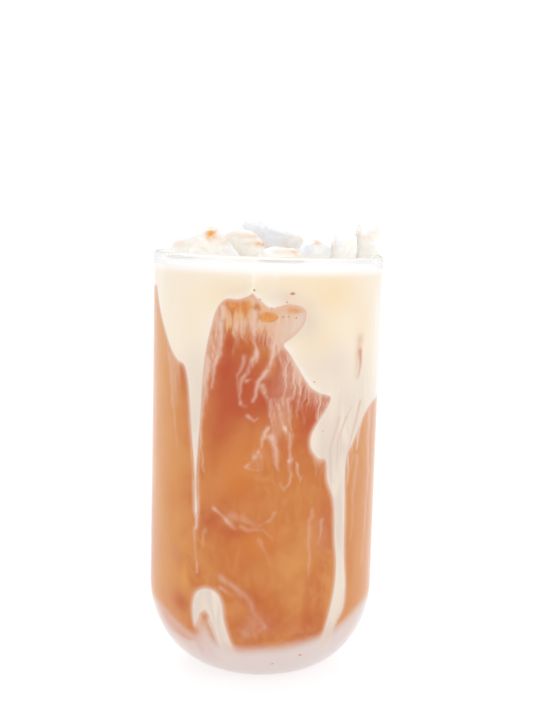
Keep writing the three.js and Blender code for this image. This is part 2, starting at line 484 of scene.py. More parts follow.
ice = {node: melted(node) for node in ICE_NODES}
print(len(ice), "lumps,", sum(len(piece.data.polygons) for piece in ice.values()), "faces")

# %% [markdown]
# ## The milk's outline on the wall
# What is seen of the milk is its outline on the inside of the wall, so the milk is cut from the drink
# by prisms that point at the viewer: one for each lobe and stream. Their outlines are the packed
# part's own few points, joined by a smooth curve. Tongues go on round the sides and the back.

# %% Outlines as x and z seen from the front, anticlockwise
LEFT_LOBE = [
    (-35.8, 136), (-35.4, 131), (-34.2, 124), (-32.4, 117.8), (-29.9, 111.4), (-27.8, 108.6), (-26, 107.8),
    (-24.6, 103.5), (-23.2, 87), (-21.9, 70.5), (-21.2, 59), (-20.6, 59), (-20.7, 70.5), (-20.1, 87),
    (-19.1, 109), (-17.3, 119.8), (-15.2, 127), (-12.8, 129.7), (-9, 129.8), (-4.5, 132), (-4, 136),
]
RIGHT_LOBE = [
    (-6, 136), (-4.5, 131.6), (-1.6, 129.1), (0.9, 127.3), (4, 128), (7, 128.7), (11.7, 127), (11.2, 122.4),
    (7.9, 118.6), (5.2, 116.1), (7.4, 112.9), (11.7, 105.6), (14.2, 102.2), (17.2, 100.2), (20.4, 99),
    (19.6, 96), (16.2, 90.3), (14.6, 86.5), (14.8, 82.5), (17.4, 79), (19.4, 78.6), (20.2, 72), (22.4, 65),
    (23.3, 51.4), (24.1, 43), (23.6, 34), (22, 26), (20.2, 19.3), (17, 12), (20, 10), (24.4, 21.8),
    (27, 27), (27.6, 34), (26.9, 45), (26.6, 60), (26.6, 79), (28.2, 82.4), (30.4, 87.4), (33, 93),
    (36.5, 96), (40, 97), (40, 136),
]
HOOK = [
    (-19.3, 24), (-18.5, 26.8), (-16.7, 27), (-15.3, 24.9), (-12.8, 17.9), (-9, 9), (-4.6, 9.5),
    (-8.3, 16.8), (-11.1, 25.6), (-11.9, 31), (-13.7, 34.4), (-16.9, 35.4), (-20.1, 33.7), (-21.4, 30.3),
    (-21.4, 25), (-20.4, 21.2),
]
TONGUES = [
    # bearing from the front in degrees, half width, lowest point
    (98, 19, 96), (104, 7, 66), (146, 14, 109), (187, 11, 84), (226, 15, 113), (264, 7, 101),
]
TONGUE_ROOT = 4
TONGUE_TAPER = 0.75
TONGUE_SHARES = (0, 0.35, 0.7, 0.92)
OUTLINE_SHARE = 8
print("points drawn by hand:", len(LEFT_LOBE) + len(RIGHT_LOBE) + len(HOOK))


# %% [markdown]
# Straight lines between the points would show corners, and a plain spline makes loops where points lie
# close together. The curve used here passes them at a speed that follows their spacing, which keeps
# the tips of the milk round. Each outline is then drawn out towards the viewer as a prism.

# %% From outlines to prisms
def smooth_outline(controls, share=OUTLINE_SHARE):
    """A closed curve through the controls whose speed follows the square root of their spacing."""
    knots = np.array(controls, float)
    before, after, beyond = (np.roll(knots, k, axis=0) for k in (1, -1, -2))

    def spacing(a, b):
        return np.sqrt(np.linalg.norm(b - a, axis=1))[:, None]

    gaps = spacing(before, knots), spacing(knots, after), spacing(after, beyond)
    leaving = (knots - before) / gaps[0] - (after - before) / (gaps[0] + gaps[1]) + (after - knots) / gaps[1]
    coming = (after - knots) / gaps[1] - (beyond - knots) / (gaps[1] + gaps[2]) + (beyond - after) / gaps[2]
    leaving, coming = leaving * gaps[1], coming * gaps[1]
    pieces = []
    for t in np.arange(share) / share:
        blend = (2 * t**3 - 3 * t**2 + 1, t**3 - 2 * t**2 + t, 3 * t**2 - 2 * t**3, t**3 - t**2)
        pieces.append(blend[0] * knots + blend[1] * leaving + blend[2] * after + blend[3] * coming)
    return np.stack(pieces, axis=1).reshape(-1, 2)


def tongue_outline(half, tip):
    """A rounded tongue that hangs from the milk at the top."""
    top = SLAB_FLOOR + TONGUE_ROOT
    left = [(-half * (1 - TONGUE_TAPER * share), top - (top - tip) * share) for share in TONGUE_SHARES]
    right = [(-x, z) for x, z in reversed(left)]
    return [*left, (0, tip), *right]


def wall_prism(outline, bearing=0.0):
    """A prism of an outline seen from a bearing, from the axis out past the glass."""
    count = len(outline)
    flat = np.column_stack([outline[:, 0], np.zeros(count), outline[:, 1]])
    points = np.vstack([flat, flat - (0, FAR, 0)])
    c, s = math.cos(bearing), math.sin(bearing)
    points = points @ np.array([(c, -s, 0), (s, c, 0), (0, 0, 1)]).T
    return new_object("prism", points, capped(2, count))


print("right lobe:", len(smooth_outline(RIGHT_LOBE)), "points")

# %% [markdown]
# ## Milk and tea as two bodies
# Both fill one round body, which reaches a hair into the glass wall so that no air shows between them.
# Its mesh is finest at the front: the colours further down are painted on its points. Joining and
# cutting is left to Blender's boolean modifier, with the solver made for closed meshes.

# %% Cut the drink into milk and tea
FRONT_STEP = 0.42
BACK_STEP = 1.6
DRINK_ROW = 0.5
TOP_RINGS = 30


def drink_bearings():
    """Bearings that are close together at the front and wider apart at the back."""
    front = round(math.pi * WALL_RADIUS / FRONT_STEP)
    back = round(math.pi * WALL_RADIUS / BACK_STEP)
    half = math.pi / 2
    return np.concatenate([np.linspace(-half, half, front, endpoint=False),
                           np.linspace(half, 3 * half, back, endpoint=False)])


def drink_body(name):
    profile = hollow_profile(INTO_WALL, LEVEL, DRINK_ROW)
    edge = profile[-1][0]
    top = [(edge * (1 - ring / TOP_RINGS), LEVEL) for ring in range(1, TOP_RINGS)]
    return turned(name, [*profile, *top, (0, LEVEL)], drink_bearings())


def tilted_box(name, height):
    """Everything below the pool's tilted surface."""
    side = 1.5 * FAR
    square = ((-side, -side), (side, -side), (side, side), (-side, side))
    turn = Matrix.Rotation(-POOL_TILT[1], 3, "Y") @ Matrix.Rotation(POOL_TILT[0], 3, "X")
    points = [turn @ Vector((x, y, z)) + Vector((0, 0, height)) for z in (-FAR, 0) for x, y in square]
    return new_object(name, points, capped(2, len(square)))


def combine(target, tool, operation):
    """Joins a closed tool to the target, or cuts with it."""
    modifier = target.modifiers.new("combine", "BOOLEAN")
    modifier.operation = operation
    modifier.solver = "MANIFOLD"
    modifier.object = tool
    made_real(target)
    return target


def spend(target, tool, operation):
    """Combines with a tool that isn't needed again."""
    combine(target, tool, operation)
    bpy.data.objects.remove(tool)


def milk_space():
    """The space that the milk takes, not yet trimmed to the drink."""
    space = wall_prism(smooth_outline(LEFT_LOBE))
    for outline in (RIGHT_LOBE, HOOK):
        spend(space, wall_prism(smooth_outline(outline)), "UNION")
    for bearing, half, tip in TONGUES:
        spend(space, wall_prism(smooth_outline(tongue_outline(half, tip)), math.radians(bearing)), "UNION")
    skin = hollow_profile(-MILK_SKIN, LEVEL + 1, SKIN_ROW)
    spend(space, turned("skin", [*skin, (0, LEVEL + 1)], even_bearings(SKIN_STEPS)), "DIFFERENCE")
    slab = [(0, SLAB_FLOOR), (FAR, SLAB_FLOOR), (FAR, 2 * GLASS_HEIGHT), (0, 2 * GLASS_HEIGHT)]
    spend(space, turned("slab", slab, even_bearings(SLAB_STEPS)), "UNION")
    spend(space, tilted_box("pool", POOL_HEIGHT), "UNION")
    return space


space = milk_space()
milk = combine(drink_body("milk_body"), space, "INTERSECT")
tea = combine(drink_body("tea_body"), space, "DIFFERENCE")
bpy.data.objects.remove(space)
print("milk:", len(milk.data.polygons), "faces; tea:", len(tea.data.polygons), "faces")

# %% [markdown]
# The drink closes round each lump of ice. A copy of every lump, a tenth of a millimetre smaller, cuts
# its hole, so that milk wets the ice with no gap. The milk's surface then gets low waves and creeps
# a little up the wall, as a liquid that wets glass does.

# %% Holes round the ice and a living surface
ICE_WETTING = 0.1
WAVE_HEIGHT = 0.3
WAVE_SCALE = 0.12
CREEP_HEIGHT = 0.45
CREEP_WIDTH = 1.1
CREASE = math.radians(40)
AT_LEVEL = 0.001


def smaller_copy(piece):
    """A copy of a lump, a little smaller all round, to cut its hole with."""
    copy = bpy.data.objects.new("cutter", piece.data.copy())
    scene.collection.objects.link(copy)
    move_points(copy, points_of(piece) - normals_of(piece) * ICE_WETTING)
    return copy


def living_surface(piece):
    """Waves on the points that lie on the level, and a creep at the wall."""
    points = points_of(piece)
    x, y, z = points.T
    wave = np.array([noise.noise(Vector((a, b, 0)) * WAVE_SCALE) for a, b in zip(x, y)]) * WAVE_HEIGHT
    from_wall = np.maximum(0, wall_radius(LEVEL) - WALL_THICKNESS - np.hypot(x, y))
    rise = wave + CREEP_HEIGHT * np.exp(-from_wall / CREEP_WIDTH)
    points[:, 2] += np.where(np.abs(z - LEVEL) < AT_LEVEL, rise, 0)
    move_points(piece, points)


cutters = smaller_copy(ice[ICE_NODES[0]])
for node in ICE_NODES[1:]:
    spend(cutters, smaller_copy(ice[node]), "UNION")
combine(milk, cutters, "DIFFERENCE")
combine(tea, cutters, "DIFFERENCE")
bpy.data.objects.remove(cutters)
living_surface(milk)
for piece in (milk, tea):
    piece.data.shade_smooth()
    piece.data.set_sharp_from_angle(angle=CREASE)
print("cut round the ice: milk", len(milk.data.polygons), "faces, tea", len(tea.data.polygons), "faces")

# %% [markdown]
# ## Painting with distances
# Where milk thins out into the tea it makes veils and threads with soft edges. They can't be cut from
# a solid, so they are painted as numbers on the mesh's points, each worked out from the distance to a
# line drawn on the wall. The shader turns those numbers into colour. Places on the wall are given by
# the way round it, in millimetres from the front, and the height. At the back that way ends where it
# began, so every distance is measured the short way round.


# %% Places on the unrolled wall
HALF_TURN = math.pi * WALL_RADIUS
WANDER = [
    # length of the wave up the wall, number of waves round it, shift of the wave, how far it pushes
    (19, 5, 0.4, 0.42), (7.3, 14, 2.1, 0.22), (3.1, 21, 5.2, 0.12), (1.4, 46, 1.7, 0.07),
]


def wall_place(piece):
    """Way round the wall from the front and height of every point, in millimetres."""
    x, y, z = points_of(piece).T
    return np.arctan2(x, -y) * WALL_RADIUS, z


def wandering(place):
    """The places pushed about by slow waves, so that lines drawn on them sway as liquid does."""
    across, up = place
    for length, waves, shift, push in WANDER:
        across = across + push * np.sin(2 * math.pi * up / length + waves * across / WALL_RADIUS + shift)
    return across, up


def short_way(across, start):
    """Way round the wall from a start, the short way."""
    return (across - start + HALF_TURN) % (2 * HALF_TURN) - HALF_TURN


def hollow_radius(height):
    """Radius of the hollow at a height, also in its rounded end."""
    if height >= INNER_CORNER_TOP:
        return wall_radius(height) - WALL_THICKNESS
    side = wall_radius(INNER_CORNER_TOP) - WALL_THICKNESS
    down = (INNER_CORNER_TOP - height) / (INNER_CORNER_TOP - BASE_THICKNESS)
    return INNER_FLAT_RADIUS + (side - INNER_FLAT_RADIUS) * math.sqrt(max(0, 1 - down * down))


def round_the_wall(path):
    """Points seen from the front at x, z as points on the unrolled wall."""
    return [(WALL_RADIUS * math.asin(max(-1, min(1, x / hollow_radius(z)))), z) for x, z in path]


def smoothstep(low, high, value):
    share = np.clip((value - low) / (high - low), 0, 1)
    return share * share * (3 - 2 * share)


def along(place, a, b):
    """Share of the way from a to b, and the distance from that line, for every point."""
    way, rise = short_way(place[0], a[0]), place[1] - a[1]
    dx, dz = b[0] - a[0], b[1] - a[1]
    share = np.clip((way * dx + rise * dz) / (dx * dx + dz * dz), 0, 1)
    return share, np.hypot(way - share * dx, rise - share * dz)


print("once round the wall is", round(2 * HALF_TURN), "mm")

# %% [markdown]
# Three marks are enough for all the painting: a soft line that thins out on its way, the distance to a
# closed outline, and a soft spot. They could be drawn as an image, but as numbers on the points they
# need no unwrapping and their edges stay soft from close by.

# %% Soft lines, outlines and spots
STROKE_THINS = 0.55


def stroke(place, path, width, strength):
    """How much a soft line covers each point. It grows thinner and fainter along its path."""
    covered = np.zeros_like(place[0])
    lengths = [math.dist(a, b) for a, b in zip(path, path[1:])]
    gone = 0.0
    for a, b, length in zip(path, path[1:], lengths):
        share, away = along(place, a, b)
        left = 1 - STROKE_THINS * (gone + share * length) / sum(lengths)
        covered = np.maximum(covered, strength * left * np.exp(-(away / (width * left)) ** 2))
        gone += length
    return covered


def distance_to(place, outline):
    """Distance from every point to a closed outline, less than zero inside it."""
    middle = outline[:, 0].mean()
    across, up = short_way(place[0], middle), place[1]
    outline = outline - (middle, 0)
    nearest = np.full(len(across), np.inf)
    inside = np.zeros(len(across), bool)
    for a, b in zip(outline, np.roll(outline, -1, axis=0)):
        if math.dist(a, b) == 0:
            continue
        nearest = np.minimum(nearest, along((across, up), a, b)[1])
        crosses = (a[1] > up) != (b[1] > up)
        if a[1] != b[1]:
            inside ^= crosses & (across < a[0] + (up - a[1]) * (b[0] - a[0]) / (b[1] - a[1]))
    return np.where(inside, -nearest, nearest)


def together(layers):
    """Layers of haze one over the other."""
    clear = np.ones_like(layers[0])
    for layer in layers:
        clear *= 1 - np.clip(layer, 0, 1)
    return 1 - clear


def patch(place, across, up, wide, high, strength):
    """How much a soft spot covers each point."""
    way, rise = short_way(place[0], across), place[1] - up
    return strength * np.exp(-(way / wide) ** 2 - (rise / high) ** 2)


def store(piece, name, values):
    """Keeps a number for each point, for the shader to read."""
    piece.data.attributes.new(name, "FLOAT", "POINT").data.foreach_set("value", values.astype(np.float32))


print("a thread keeps", round(1 - STROKE_THINS, 2), "of its strength at its end")

# %% [markdown]
# ## Threads and veils of milk in the tea
# Each thread is a soft line: its width in millimetres, how milky it is, and its points as seen from
# the front. Under the edges of the milk hang many fine rays, drawn by a seeded rule. Round the sides
# and the back, which the photograph doesn't show, threads hang from the milk in the same manner.

# %% Threads
THREADS = [
    # width, how milky, and points from the top down
    (1.1, 0.95, [(-13.6, 127), (-13.9, 121.3), (-14.4, 115.5), (-15.5, 110), (-16, 105), (-16.3, 101.5)]),
    (2.5, 0.62, [(-14.9, 126), (-16.4, 119), (-17.9, 112), (-18.8, 104), (-19.6, 96)]),
    (0.9, 0.7, [(-15.8, 118), (-17.2, 110.5), (-18.1, 105), (-18.6, 99.5)]),
    (0.7, 0.6, [(-16.9, 117), (-18.3, 109), (-19.3, 101), (-19.8, 95)]),
    (0.55, 0.75, [(-20, 97), (-19.9, 92.2), (-19.7, 85), (-19.5, 76), (-18.4, 73.8)]),
    (0.9, 0.8, [(-21.1, 70.2), (-21, 60.4), (-20.8, 50.5), (-20.7, 40)]),
    (1.6, 0.35, [(-28.3, 107), (-28.7, 100.7), (-28.1, 93)]),
    (1.0, 0.4, [(-30.6, 110), (-29.9, 100), (-28.6, 90), (-28, 80)]),
    (1.1, 0.85, [(30.4, 90), (30.1, 84.4), (29.8, 80.4)]),
    (0.8, 0.75, [(28.2, 88), (28.4, 84.6)]),
    (1.0, 0.85, [(-3.8, 126), (-3.5, 119), (-3, 113.8), (-2.9, 110.6)]),
    (0.9, 0.62, [(-3.1, 113.5), (-5.3, 108.6), (-7.2, 103.8), (-7.6, 99.3), (-7, 96.8)]),
    (1.1, 1.0, [(3.5, 120), (2.9, 114), (0.6, 108.6), (-1.9, 105.2), (-2.3, 100.9), (-3.4, 98)]),
    (2.6, 0.35, [(4.6, 122), (3.4, 114), (1.8, 109), (0, 106)]),
    (0.55, 0.55, [(-9.4, 121.5), (-9.7, 116.8), (-10.5, 112.6)]),
    (0.6, 0.5, [(-7.1, 121.5), (-6.8, 118.5), (-5.7, 116)]),
    (0.7, 0.45, [(-6.8, 112), (-8.3, 107), (-8.4, 101)]),
    (0.6, 0.5, [(-5.4, 104.4), (-3.9, 105)]),
    (0.8, 0.6, [(-0.7, 103), (1.6, 98.2), (2.2, 92.1), (2.4, 88)]),
    (2.6, 0.24, [(4.6, 106), (4.2, 101), (4.3, 94), (4.4, 87)]),
    (2.2, 0.28, [(7.4, 106), (7.6, 98), (7.4, 88)]),
    (0.6, 0.6, [(4.6, 97), (5.6, 91), (7.4, 87.3)]),
    (0.7, 0.7, [(0.6, 89.5), (-0.5, 86.3), (-1, 81.9)]),
    (0.9, 0.55, [(0.4, 86.6), (-0.6, 86.2)]),
    (1.2, 0.7, [(2.3, 86.6), (3.6, 83), (4.5, 79), (5.2, 76.3)]),
    (0.75, 0.95, [(6.2, 89.5), (7.6, 86.8), (8, 82.5), (8.1, 78.6)]),
    (0.8, 0.6, [(8.5, 79.2), (8.1, 78.2)]),
    (0.55, 0.6, [(8.2, 78.5), (9.4, 74.7), (7.9, 71.1), (6.5, 69.6), (5.3, 71.5)]),
    (0.45, 0.6, [(10.6, 78), (12.2, 72.5), (12.9, 73.8)]),
    (0.5, 0.5, [(-1, 81.6), (-3.2, 78.6), (-5.7, 76.7), (-3.2, 75.8), (-0.3, 75.9), (0.1, 78.9),
                (-0.6, 81.6)]),
    (1.7, 0.34, [(-1.2, 80.4), (-1.8, 77.4), (-3.6, 76.8)]),
    (0.7, 0.5, [(-7.2, 97), (-6.2, 96.2), (-5, 96.4)]),
    (0.6, 0.55, [(-5.7, 93.2), (-3.8, 91.6), (-2.3, 92.7)]),
    (0.7, 0.5, [(-15.3, 62.2), (-13, 60.6), (-11.4, 58.6)]),
    (1.0, 0.5, [(-11.6, 58.9), (-9.8, 57.2), (-8.6, 56.3)]),
    (1.5, 0.24, [(-9.4, 60.4), (-5.7, 59.8), (-2.2, 58.2), (0.6, 57)]),
    (0.7, 0.28, [(-7, 57.4), (-4.6, 56), (-2.6, 56.6), (0.6, 56.2), (3.5, 53.3)]),
    (0.6, 0.3, [(4.2, 62), (3, 59.6), (-0.6, 57.8)]),
    (0.7, 0.42, [(15.5, 62.2), (15.3, 56), (15.2, 51.2), (15, 40.1)]),
    (0.6, 0.42, [(18.6, 58.8), (19.3, 55), (18.2, 50.8)]),
    (1.3, 0.35, [(-12.5, 39.4), (-8.7, 37.1), (-4.5, 33.8), (-1.5, 29), (2.8, 22.7)]),
    (0.7, 0.4, [(-13, 36.2), (-9.4, 34.6)]),
    (0.8, 0.25, [(-1, 53.1), (2.6, 46.6)]),
    (0.6, 0.3, [(-18.3, 54.8), (-17.9, 48.7)]),
    (2.1, 0.3, [(-4, 21), (-2.6, 25.4), (-0.4, 21.5), (2.6, 24.6)]),
    (1.3, 0.55, [(33.5, 97), (34, 79.4), (34.1, 64), (33.6, 55.4), (33, 40)]),
    (1.2, 0.35, [(29.9, 78), (29.2, 62.2), (28.9, 49.7)]),
    (0.8, 0.45, [(24.6, 66), (25, 52), (25, 38)]),
    (1.4, 0.55, [(-19.8, 27), (-19.3, 21), (-17.5, 14)]),
    (0.6, 0.6, [(-8.6, 130.7), (-6.6, 131.6), (-4.6, 132.7)]),
    (0.6, 0.75, [(-4.6, 132.4), (-2.5, 130.2), (1.2, 127.4), (6, 127.6)]),
    (0.8, 0.7, [(12.2, 126.2), (11.3, 123.1), (7.8, 119.6), (4.5, 116.8), (3.5, 115.2)]),
    (0.8, 0.2, [(-35.4, 100), (-35.5, 80), (-35.4, 60), (-34.8, 44)]),
]
HANGING = [
    # line that the rays hang from, number of rays, length of a ray, width, strength, seed
    ([(3.8, 115.4), (7.2, 112), (10.4, 108.6), (14.2, 103.7), (20, 100.2)],
     30, (4, 17), (0.3, 0.6), (0.4, 0.9), 3),
    ([(-10, 121.5), (-4, 122), (2, 121), (7, 121)], 15, (3, 8), (0.4, 1.0), (0.3, 0.6), 5),
    ([(4, 122), (8, 123), (11, 124)], 9, (3, 7), (0.2, 0.35), (0.3, 0.6), 6),
    ([(-15, 118), (-17.5, 108), (-19.6, 99)], 9, (4, 10), (0.3, 0.7), (0.3, 0.5), 8),
    ([(-33, 118), (-28, 108), (-25, 106)], 8, (6, 18), (0.4, 0.9), (0.15, 0.3), 9),
    ([(27.4, 86), (30.5, 92), (36, 99)], 10, (6, 18), (0.4, 0.9), (0.2, 0.45), 12),
    ([(15.5, 82), (18.6, 78)], 5, (4, 9), (0.25, 0.5), (0.25, 0.45), 14),
    ([(2, 98), (9, 98)], 10, (5, 12), (0.2, 0.5), (0.2, 0.45), 16),
]
print(len(THREADS), "threads, and rays from", len(HANGING), "edges")

# %% [markdown]
# Liquid that runs down in liquid leaves rays too fine and too many to place by hand. A rule strews them
# along a line, and its seed brings the same rays back each time. The threads at the back follow a
# rule of the same kind.

# %% Rays and the threads at the back
RAY_JITTER = (0.1, 0.9)
RAY_START = 1
RAY_LEANS = (-0.05, 0.12)
BACK_THREADS = 70
BACK_SEED = 7
BACK_BEARINGS = (math.radians(80), math.radians(282))
BACK_TOPS = (92, 134)
BACK_LENGTHS = (12, 46)
BACK_SWAY = 2.5
BACK_WIDTHS = (0.7, 1.7)
BACK_STRENGTHS = (0.25, 0.55)


def place_on(path, share):
    """Point at a share of a path's length."""
    lengths = [math.dist(a, b) for a, b in zip(path, path[1:])]
    left = share * sum(lengths)
    for a, b, length in zip(path, path[1:], lengths):
        if left <= length:
            t = left / length
            return a[0] + t * (b[0] - a[0]), a[1] + t * (b[1] - a[1])
        left -= length
    return path[-1]


def hanging_rays(line, count, lengths, widths, strengths, seed):
    """Rays that hang from a line. Each starts a millimetre above it and leans a little on its way."""
    draw = np.random.default_rng(seed)
    made = []
    for k in range(count):
        x, z = place_on(line, (k + draw.uniform(*RAY_JITTER)) / count)
        length = draw.uniform(*lengths)
        lean = draw.uniform(*RAY_LEANS) * length
        path = [(x, z + RAY_START), (x + 0.3 * lean, z - 0.5 * length), (x + lean, z - length)]
        made.append((draw.uniform(*widths), draw.uniform(*strengths), round_the_wall(path)))
    return made


def behind(bearing):
    """Way round the wall of a bearing, counted the short way from the front."""
    return WALL_RADIUS * (bearing - 2 * math.pi if bearing > math.pi else bearing)


def back_threads():
    """Threads that hang from the milk round the sides and the back."""
    draw = np.random.default_rng(BACK_SEED)
    made = []
    for _ in range(BACK_THREADS):
        across = behind(draw.uniform(*BACK_BEARINGS))
        top = draw.uniform(*BACK_TOPS)
        length = draw.uniform(*BACK_LENGTHS)
        sway = draw.uniform(-BACK_SWAY, BACK_SWAY, 4)
        path = [(across + sway[i] * i / 3, top - length * i / 3) for i in range(4)]
        made.append((draw.uniform(*BACK_WIDTHS), draw.uniform(*BACK_STRENGTHS), path))
    return made


ALL_THREADS = [(width, strength, round_the_wall(path)) for width, strength, path in THREADS]
for row in HANGING:
    ALL_THREADS += hanging_rays(*row)
ALL_THREADS += back_threads()
print(len(ALL_THREADS), "threads")

# %% [markdown]
# ## Haze, glow and depth of colour
# A few more numbers are painted from lists of soft spots: how yellow the tea glows where ice lies sunk
# behind it, how deep its red-brown is, how pink or pale it is where milk has mixed in, and how warm or
# grey the milk is. The tall pink and pale spots along the far left and right edges are partly painted
# reflection, the light streaks of the curved glass. Near the pool the tea turns milky over a few
# millimetres, and the pool's top edge is tinted by the same rule, so that no line shows between them.

# %% Soft spots in the tea
GLOWS = [
    # x and z seen from the front, size across and up, and strength, here and in the lists below
    (-9, 74.5, 6.5, 7, 0.75), (-4.5, 83, 5, 6, 0.25), (-1.5, 51.5, 6.5, 4.2, 0.8), (-29.5, 64, 4, 8, 0.3),
    (5, 79, 4, 5, 0.3), (-10, 70, 3, 3, 0.4),
]
DEPTHS = [
    (-37.4, 66, 2.2, 36, 0.5), (37.6, 60, 1.6, 30, 0.4), (-12.3, 107, 4.6, 11, 1.0),
    (6.4, 104, 3, 6, 0.6), (-3, 104, 5, 8, 0.6), (-11.5, 116.5, 1.3, 3.5, 0.85), (-6.6, 108, 3.6, 8, 0.8),
    (-1.6, 117.5, 1.6, 2.6, 0.6), (1.2, 117.8, 1.2, 2.4, 0.7), (1, 99, 5, 9, 0.8), (-9, 97, 9, 7.5, 0.95),
    (6, 110.5, 2.4, 4, 0.8), (10.5, 101, 5, 8, 0.75), (14.5, 92, 4.5, 10, 0.7), (18, 96.5, 3.4, 5, 0.8),
    (-14, 86, 6, 9, 0.6), (6, 84, 6, 5, 0.45), (-16.5, 58, 5, 5, 0.5), (-9, 54.5, 4.5, 2.6, 0.5),
    (4, 51, 3.4, 3, 0.3), (-12, 66, 6, 5, 0.3), (20, 57, 3, 9, 0.35), (-25.4, 28.5, 3.6, 3.6, 0.7),
    (-2.4, 33.4, 4, 3.4, 0.35), (3.5, 25, 9, 4, 0.55), (16.4, 26, 5, 4.4, 0.35), (29, 44, 2.6, 9, 0.25),
    (-26, 104, 2, 5, 0.5),
]
YELLOWS = [
    (-24.4, 38, 1.7, 5, 1.0), (-25.2, 47.5, 2, 2.4, 0.6), (-33, 108, 2, 8, 0.9), (-27.5, 52, 3, 4, 0.4),
]
CAVE_GLOWS = [
    (-10.8, 128.4, 2.0, 1.5, 0.95), (-6.5, 128.2, 0.8, 2.2, 0.75), (9.3, 127, 2.8, 1.2, 0.85),
    (-8.8, 127.6, 3.6, 1.8, 0.6),
]
CAVE_VEILS = [
    (8.5, 123.5, 5.5, 5, 1.0), (2.5, 125.4, 5, 4, 0.95), (-6, 123.6, 7.5, 3.8, 0.85),
    (-11.6, 123.4, 2.4, 3.4, 0.6), (5.6, 118.6, 3.6, 3.6, 0.85), (-2.8, 129.4, 4.6, 1.8, 0.85),
    (-6, 119.6, 4.5, 1.6, 0.4),
]
# the tall spots near x = 31 to 34 are partly painted reflection of the glass's right edge
PINKS_AND_EDGE_REFLECTION = [
    (5.4, 93, 3, 7, 0.4), (-3.4, 59.4, 5.5, 1.5, 0.2), (-27.9, 43.6, 2.4, 2.2, 0.9),
    (19.4, 55, 2.8, 8, 0.55), (0, 25, 6, 3.4, 0.7), (-16.8, 112, 3, 8, 0.45), (31, 66, 4, 16, 0.4),
    (34.4, 66, 1.8, 34, 0.55), (-30, 24, 6, 6, 0.6), (-17.8, 20, 3.4, 5, 0.8), (31, 30, 4, 8, 0.4),
    (-7, 34, 4.4, 3, 0.35), (13, 22, 6, 3, 0.4), (10, 110, 2.4, 4, 0.25),
]
# the tall spots near x = -36 and x = 28 to 31 are partly painted reflection of the glass's edges
PALES_AND_EDGE_REFLECTION = [
    (9.5, 44, 7, 7, 0.9), (-36, 112, 2.5, 16, 0.8), (14, 55, 4, 8, 0.5), (10.8, 33, 4, 6, 0.7),
    (10, 68, 9, 8, 0.45), (-4, 64, 8, 4, 0.3), (-28, 76, 4.4, 9, 0.75), (-31, 58, 3.5, 8, 0.5),
    (28.6, 66, 2.6, 20, 0.7), (-15, 30, 3, 6, 0.3), (-16, 42, 4, 8, 0.4), (2, 41, 7, 4, 0.35),
    (31, 75, 4, 16, 0.7), (30, 52, 3, 12, 0.5),
]
print(len(DEPTHS), "spots redden the tea and", len(PALES_AND_EDGE_REFLECTION), "make it paler")

# %% [markdown]
# Some drips of milk are narrower than the mesh's steps, which would show as teeth if they were cut from
# the solid. They are painted on the tea instead, as soft lines and small clouds of milk.

# %% Thin milk in the tea
DRIPS = [
    # width, strength and points of each drip
    (0.75, 1.1, [(30.9, 91), (30.4, 86), (30.1, 83), (29.9, 80.6)]),
    (0.6, 1.0, [(28.3, 89), (28.4, 85)]),
    (1.25, 2.0, [(-15.1, 24.8), (-13.9, 21.4), (-12.9, 18.2), (-11.7, 15), (-10.4, 11.6)]),
    (0.3, 0.9, [(3.6, 124), (3.8, 118.4)]),
    (0.3, 0.9, [(6.1, 124.4), (6.2, 119.2)]),
    (0.25, 0.7, [(8.7, 123.6), (8.2, 120.6)]),
    (0.55, 0.9, [(26.8, 79), (27.3, 74), (27, 69)]),
    (0.5, 0.8, [(-20.9, 63), (-20.8, 55)]),
    (0.45, 0.8, [(8, 78.9), (8.2, 78.5)]),
    (0.7, 0.45, [(4.2, 115.2), (2.4, 112)]),
    (0.7, 0.5, [(-13.8, 122), (-14.4, 115.5), (-15.4, 110.4)]),
]
DRIP_CLOUDS = [
    (10.6, 123.4, 3, 3.6, 0.8), (6.6, 121, 3, 4.4, 0.5), (6, 125.6, 4, 1.6, 0.4),
    (-17.4, 19.2, 2.8, 5, 0.75), (11.4, 124.4, 2.3, 3.6, 0.9), (8.4, 120.4, 2.4, 2, 0.6),
    (5.4, 117.4, 1.4, 1.4, 0.5), (-4.6, 129.6, 3, 1.4, 0.25), (10.6, 129, 2.6, 1.6, 0.4),
]
print(len(DRIPS), "drips and", len(DRIP_CLOUDS), "clouds")

# %% [markdown]
# Milk on a wall of glass is nowhere one plain cream. It is a warmer, darker cream in some places and
# greyer in others, whiter along some edges, and it blushes where tea rises in it. Spots and lines carry
# that too.

# %% Soft spots and lines in the milk
MILK_BLUSH = [
    (-30, 24, 8, 8, 1.0), (-24, 17, 7, 5, 0.85), (-16, 13, 5, 4, 0.25), (30, 22, 9, 8, 0.25),
    (-6, 15.4, 6, 2, 0.4), (8, 17, 9, 2, 0.35), (22, 20, 6, 3, 0.2),
]
MILK_MARKS = [
    # width, strength and points of thin tea-coloured marks in the milk
    (1.9, 0.45, [(29.7, 117), (29.1, 112.5), (28.8, 107.5), (28.7, 104.8)]),
    (1.0, 1.1, [(29.8, 113), (30.1, 109.2), (29.7, 105.7), (29.3, 104.4)]),
    (0.5, 0.3, [(23.6, 92), (21, 82), (21.6, 70), (24.4, 52)]),
    (0.45, 0.35, [(25.8, 92), (23.4, 84), (23.2, 74)]),
    (0.35, 0.3, [(27.4, 95), (24.6, 88), (24.4, 79)]),
    (2.6, 0.17, [(6.4, 130), (12.4, 128.4), (13, 123), (9.8, 119), (7, 116.4)]),
    (0.8, 0.5, [(30.4, 96), (28.6, 88), (27, 81), (27, 74)]),
]
MILK_WARM = [
    (-9, 132.6, 6, 2.6, 0.6), (21, 132, 11, 7, 1.0), (8, 135, 8, 3, 0.5), (30, 122, 6, 8, 0.5),
    (-15, 130, 7, 6, 0.55), (16, 118, 8, 8, 0.7), (-24, 126, 5, 10, 0.25), (0, 135, 6, 3, 0.3),
]
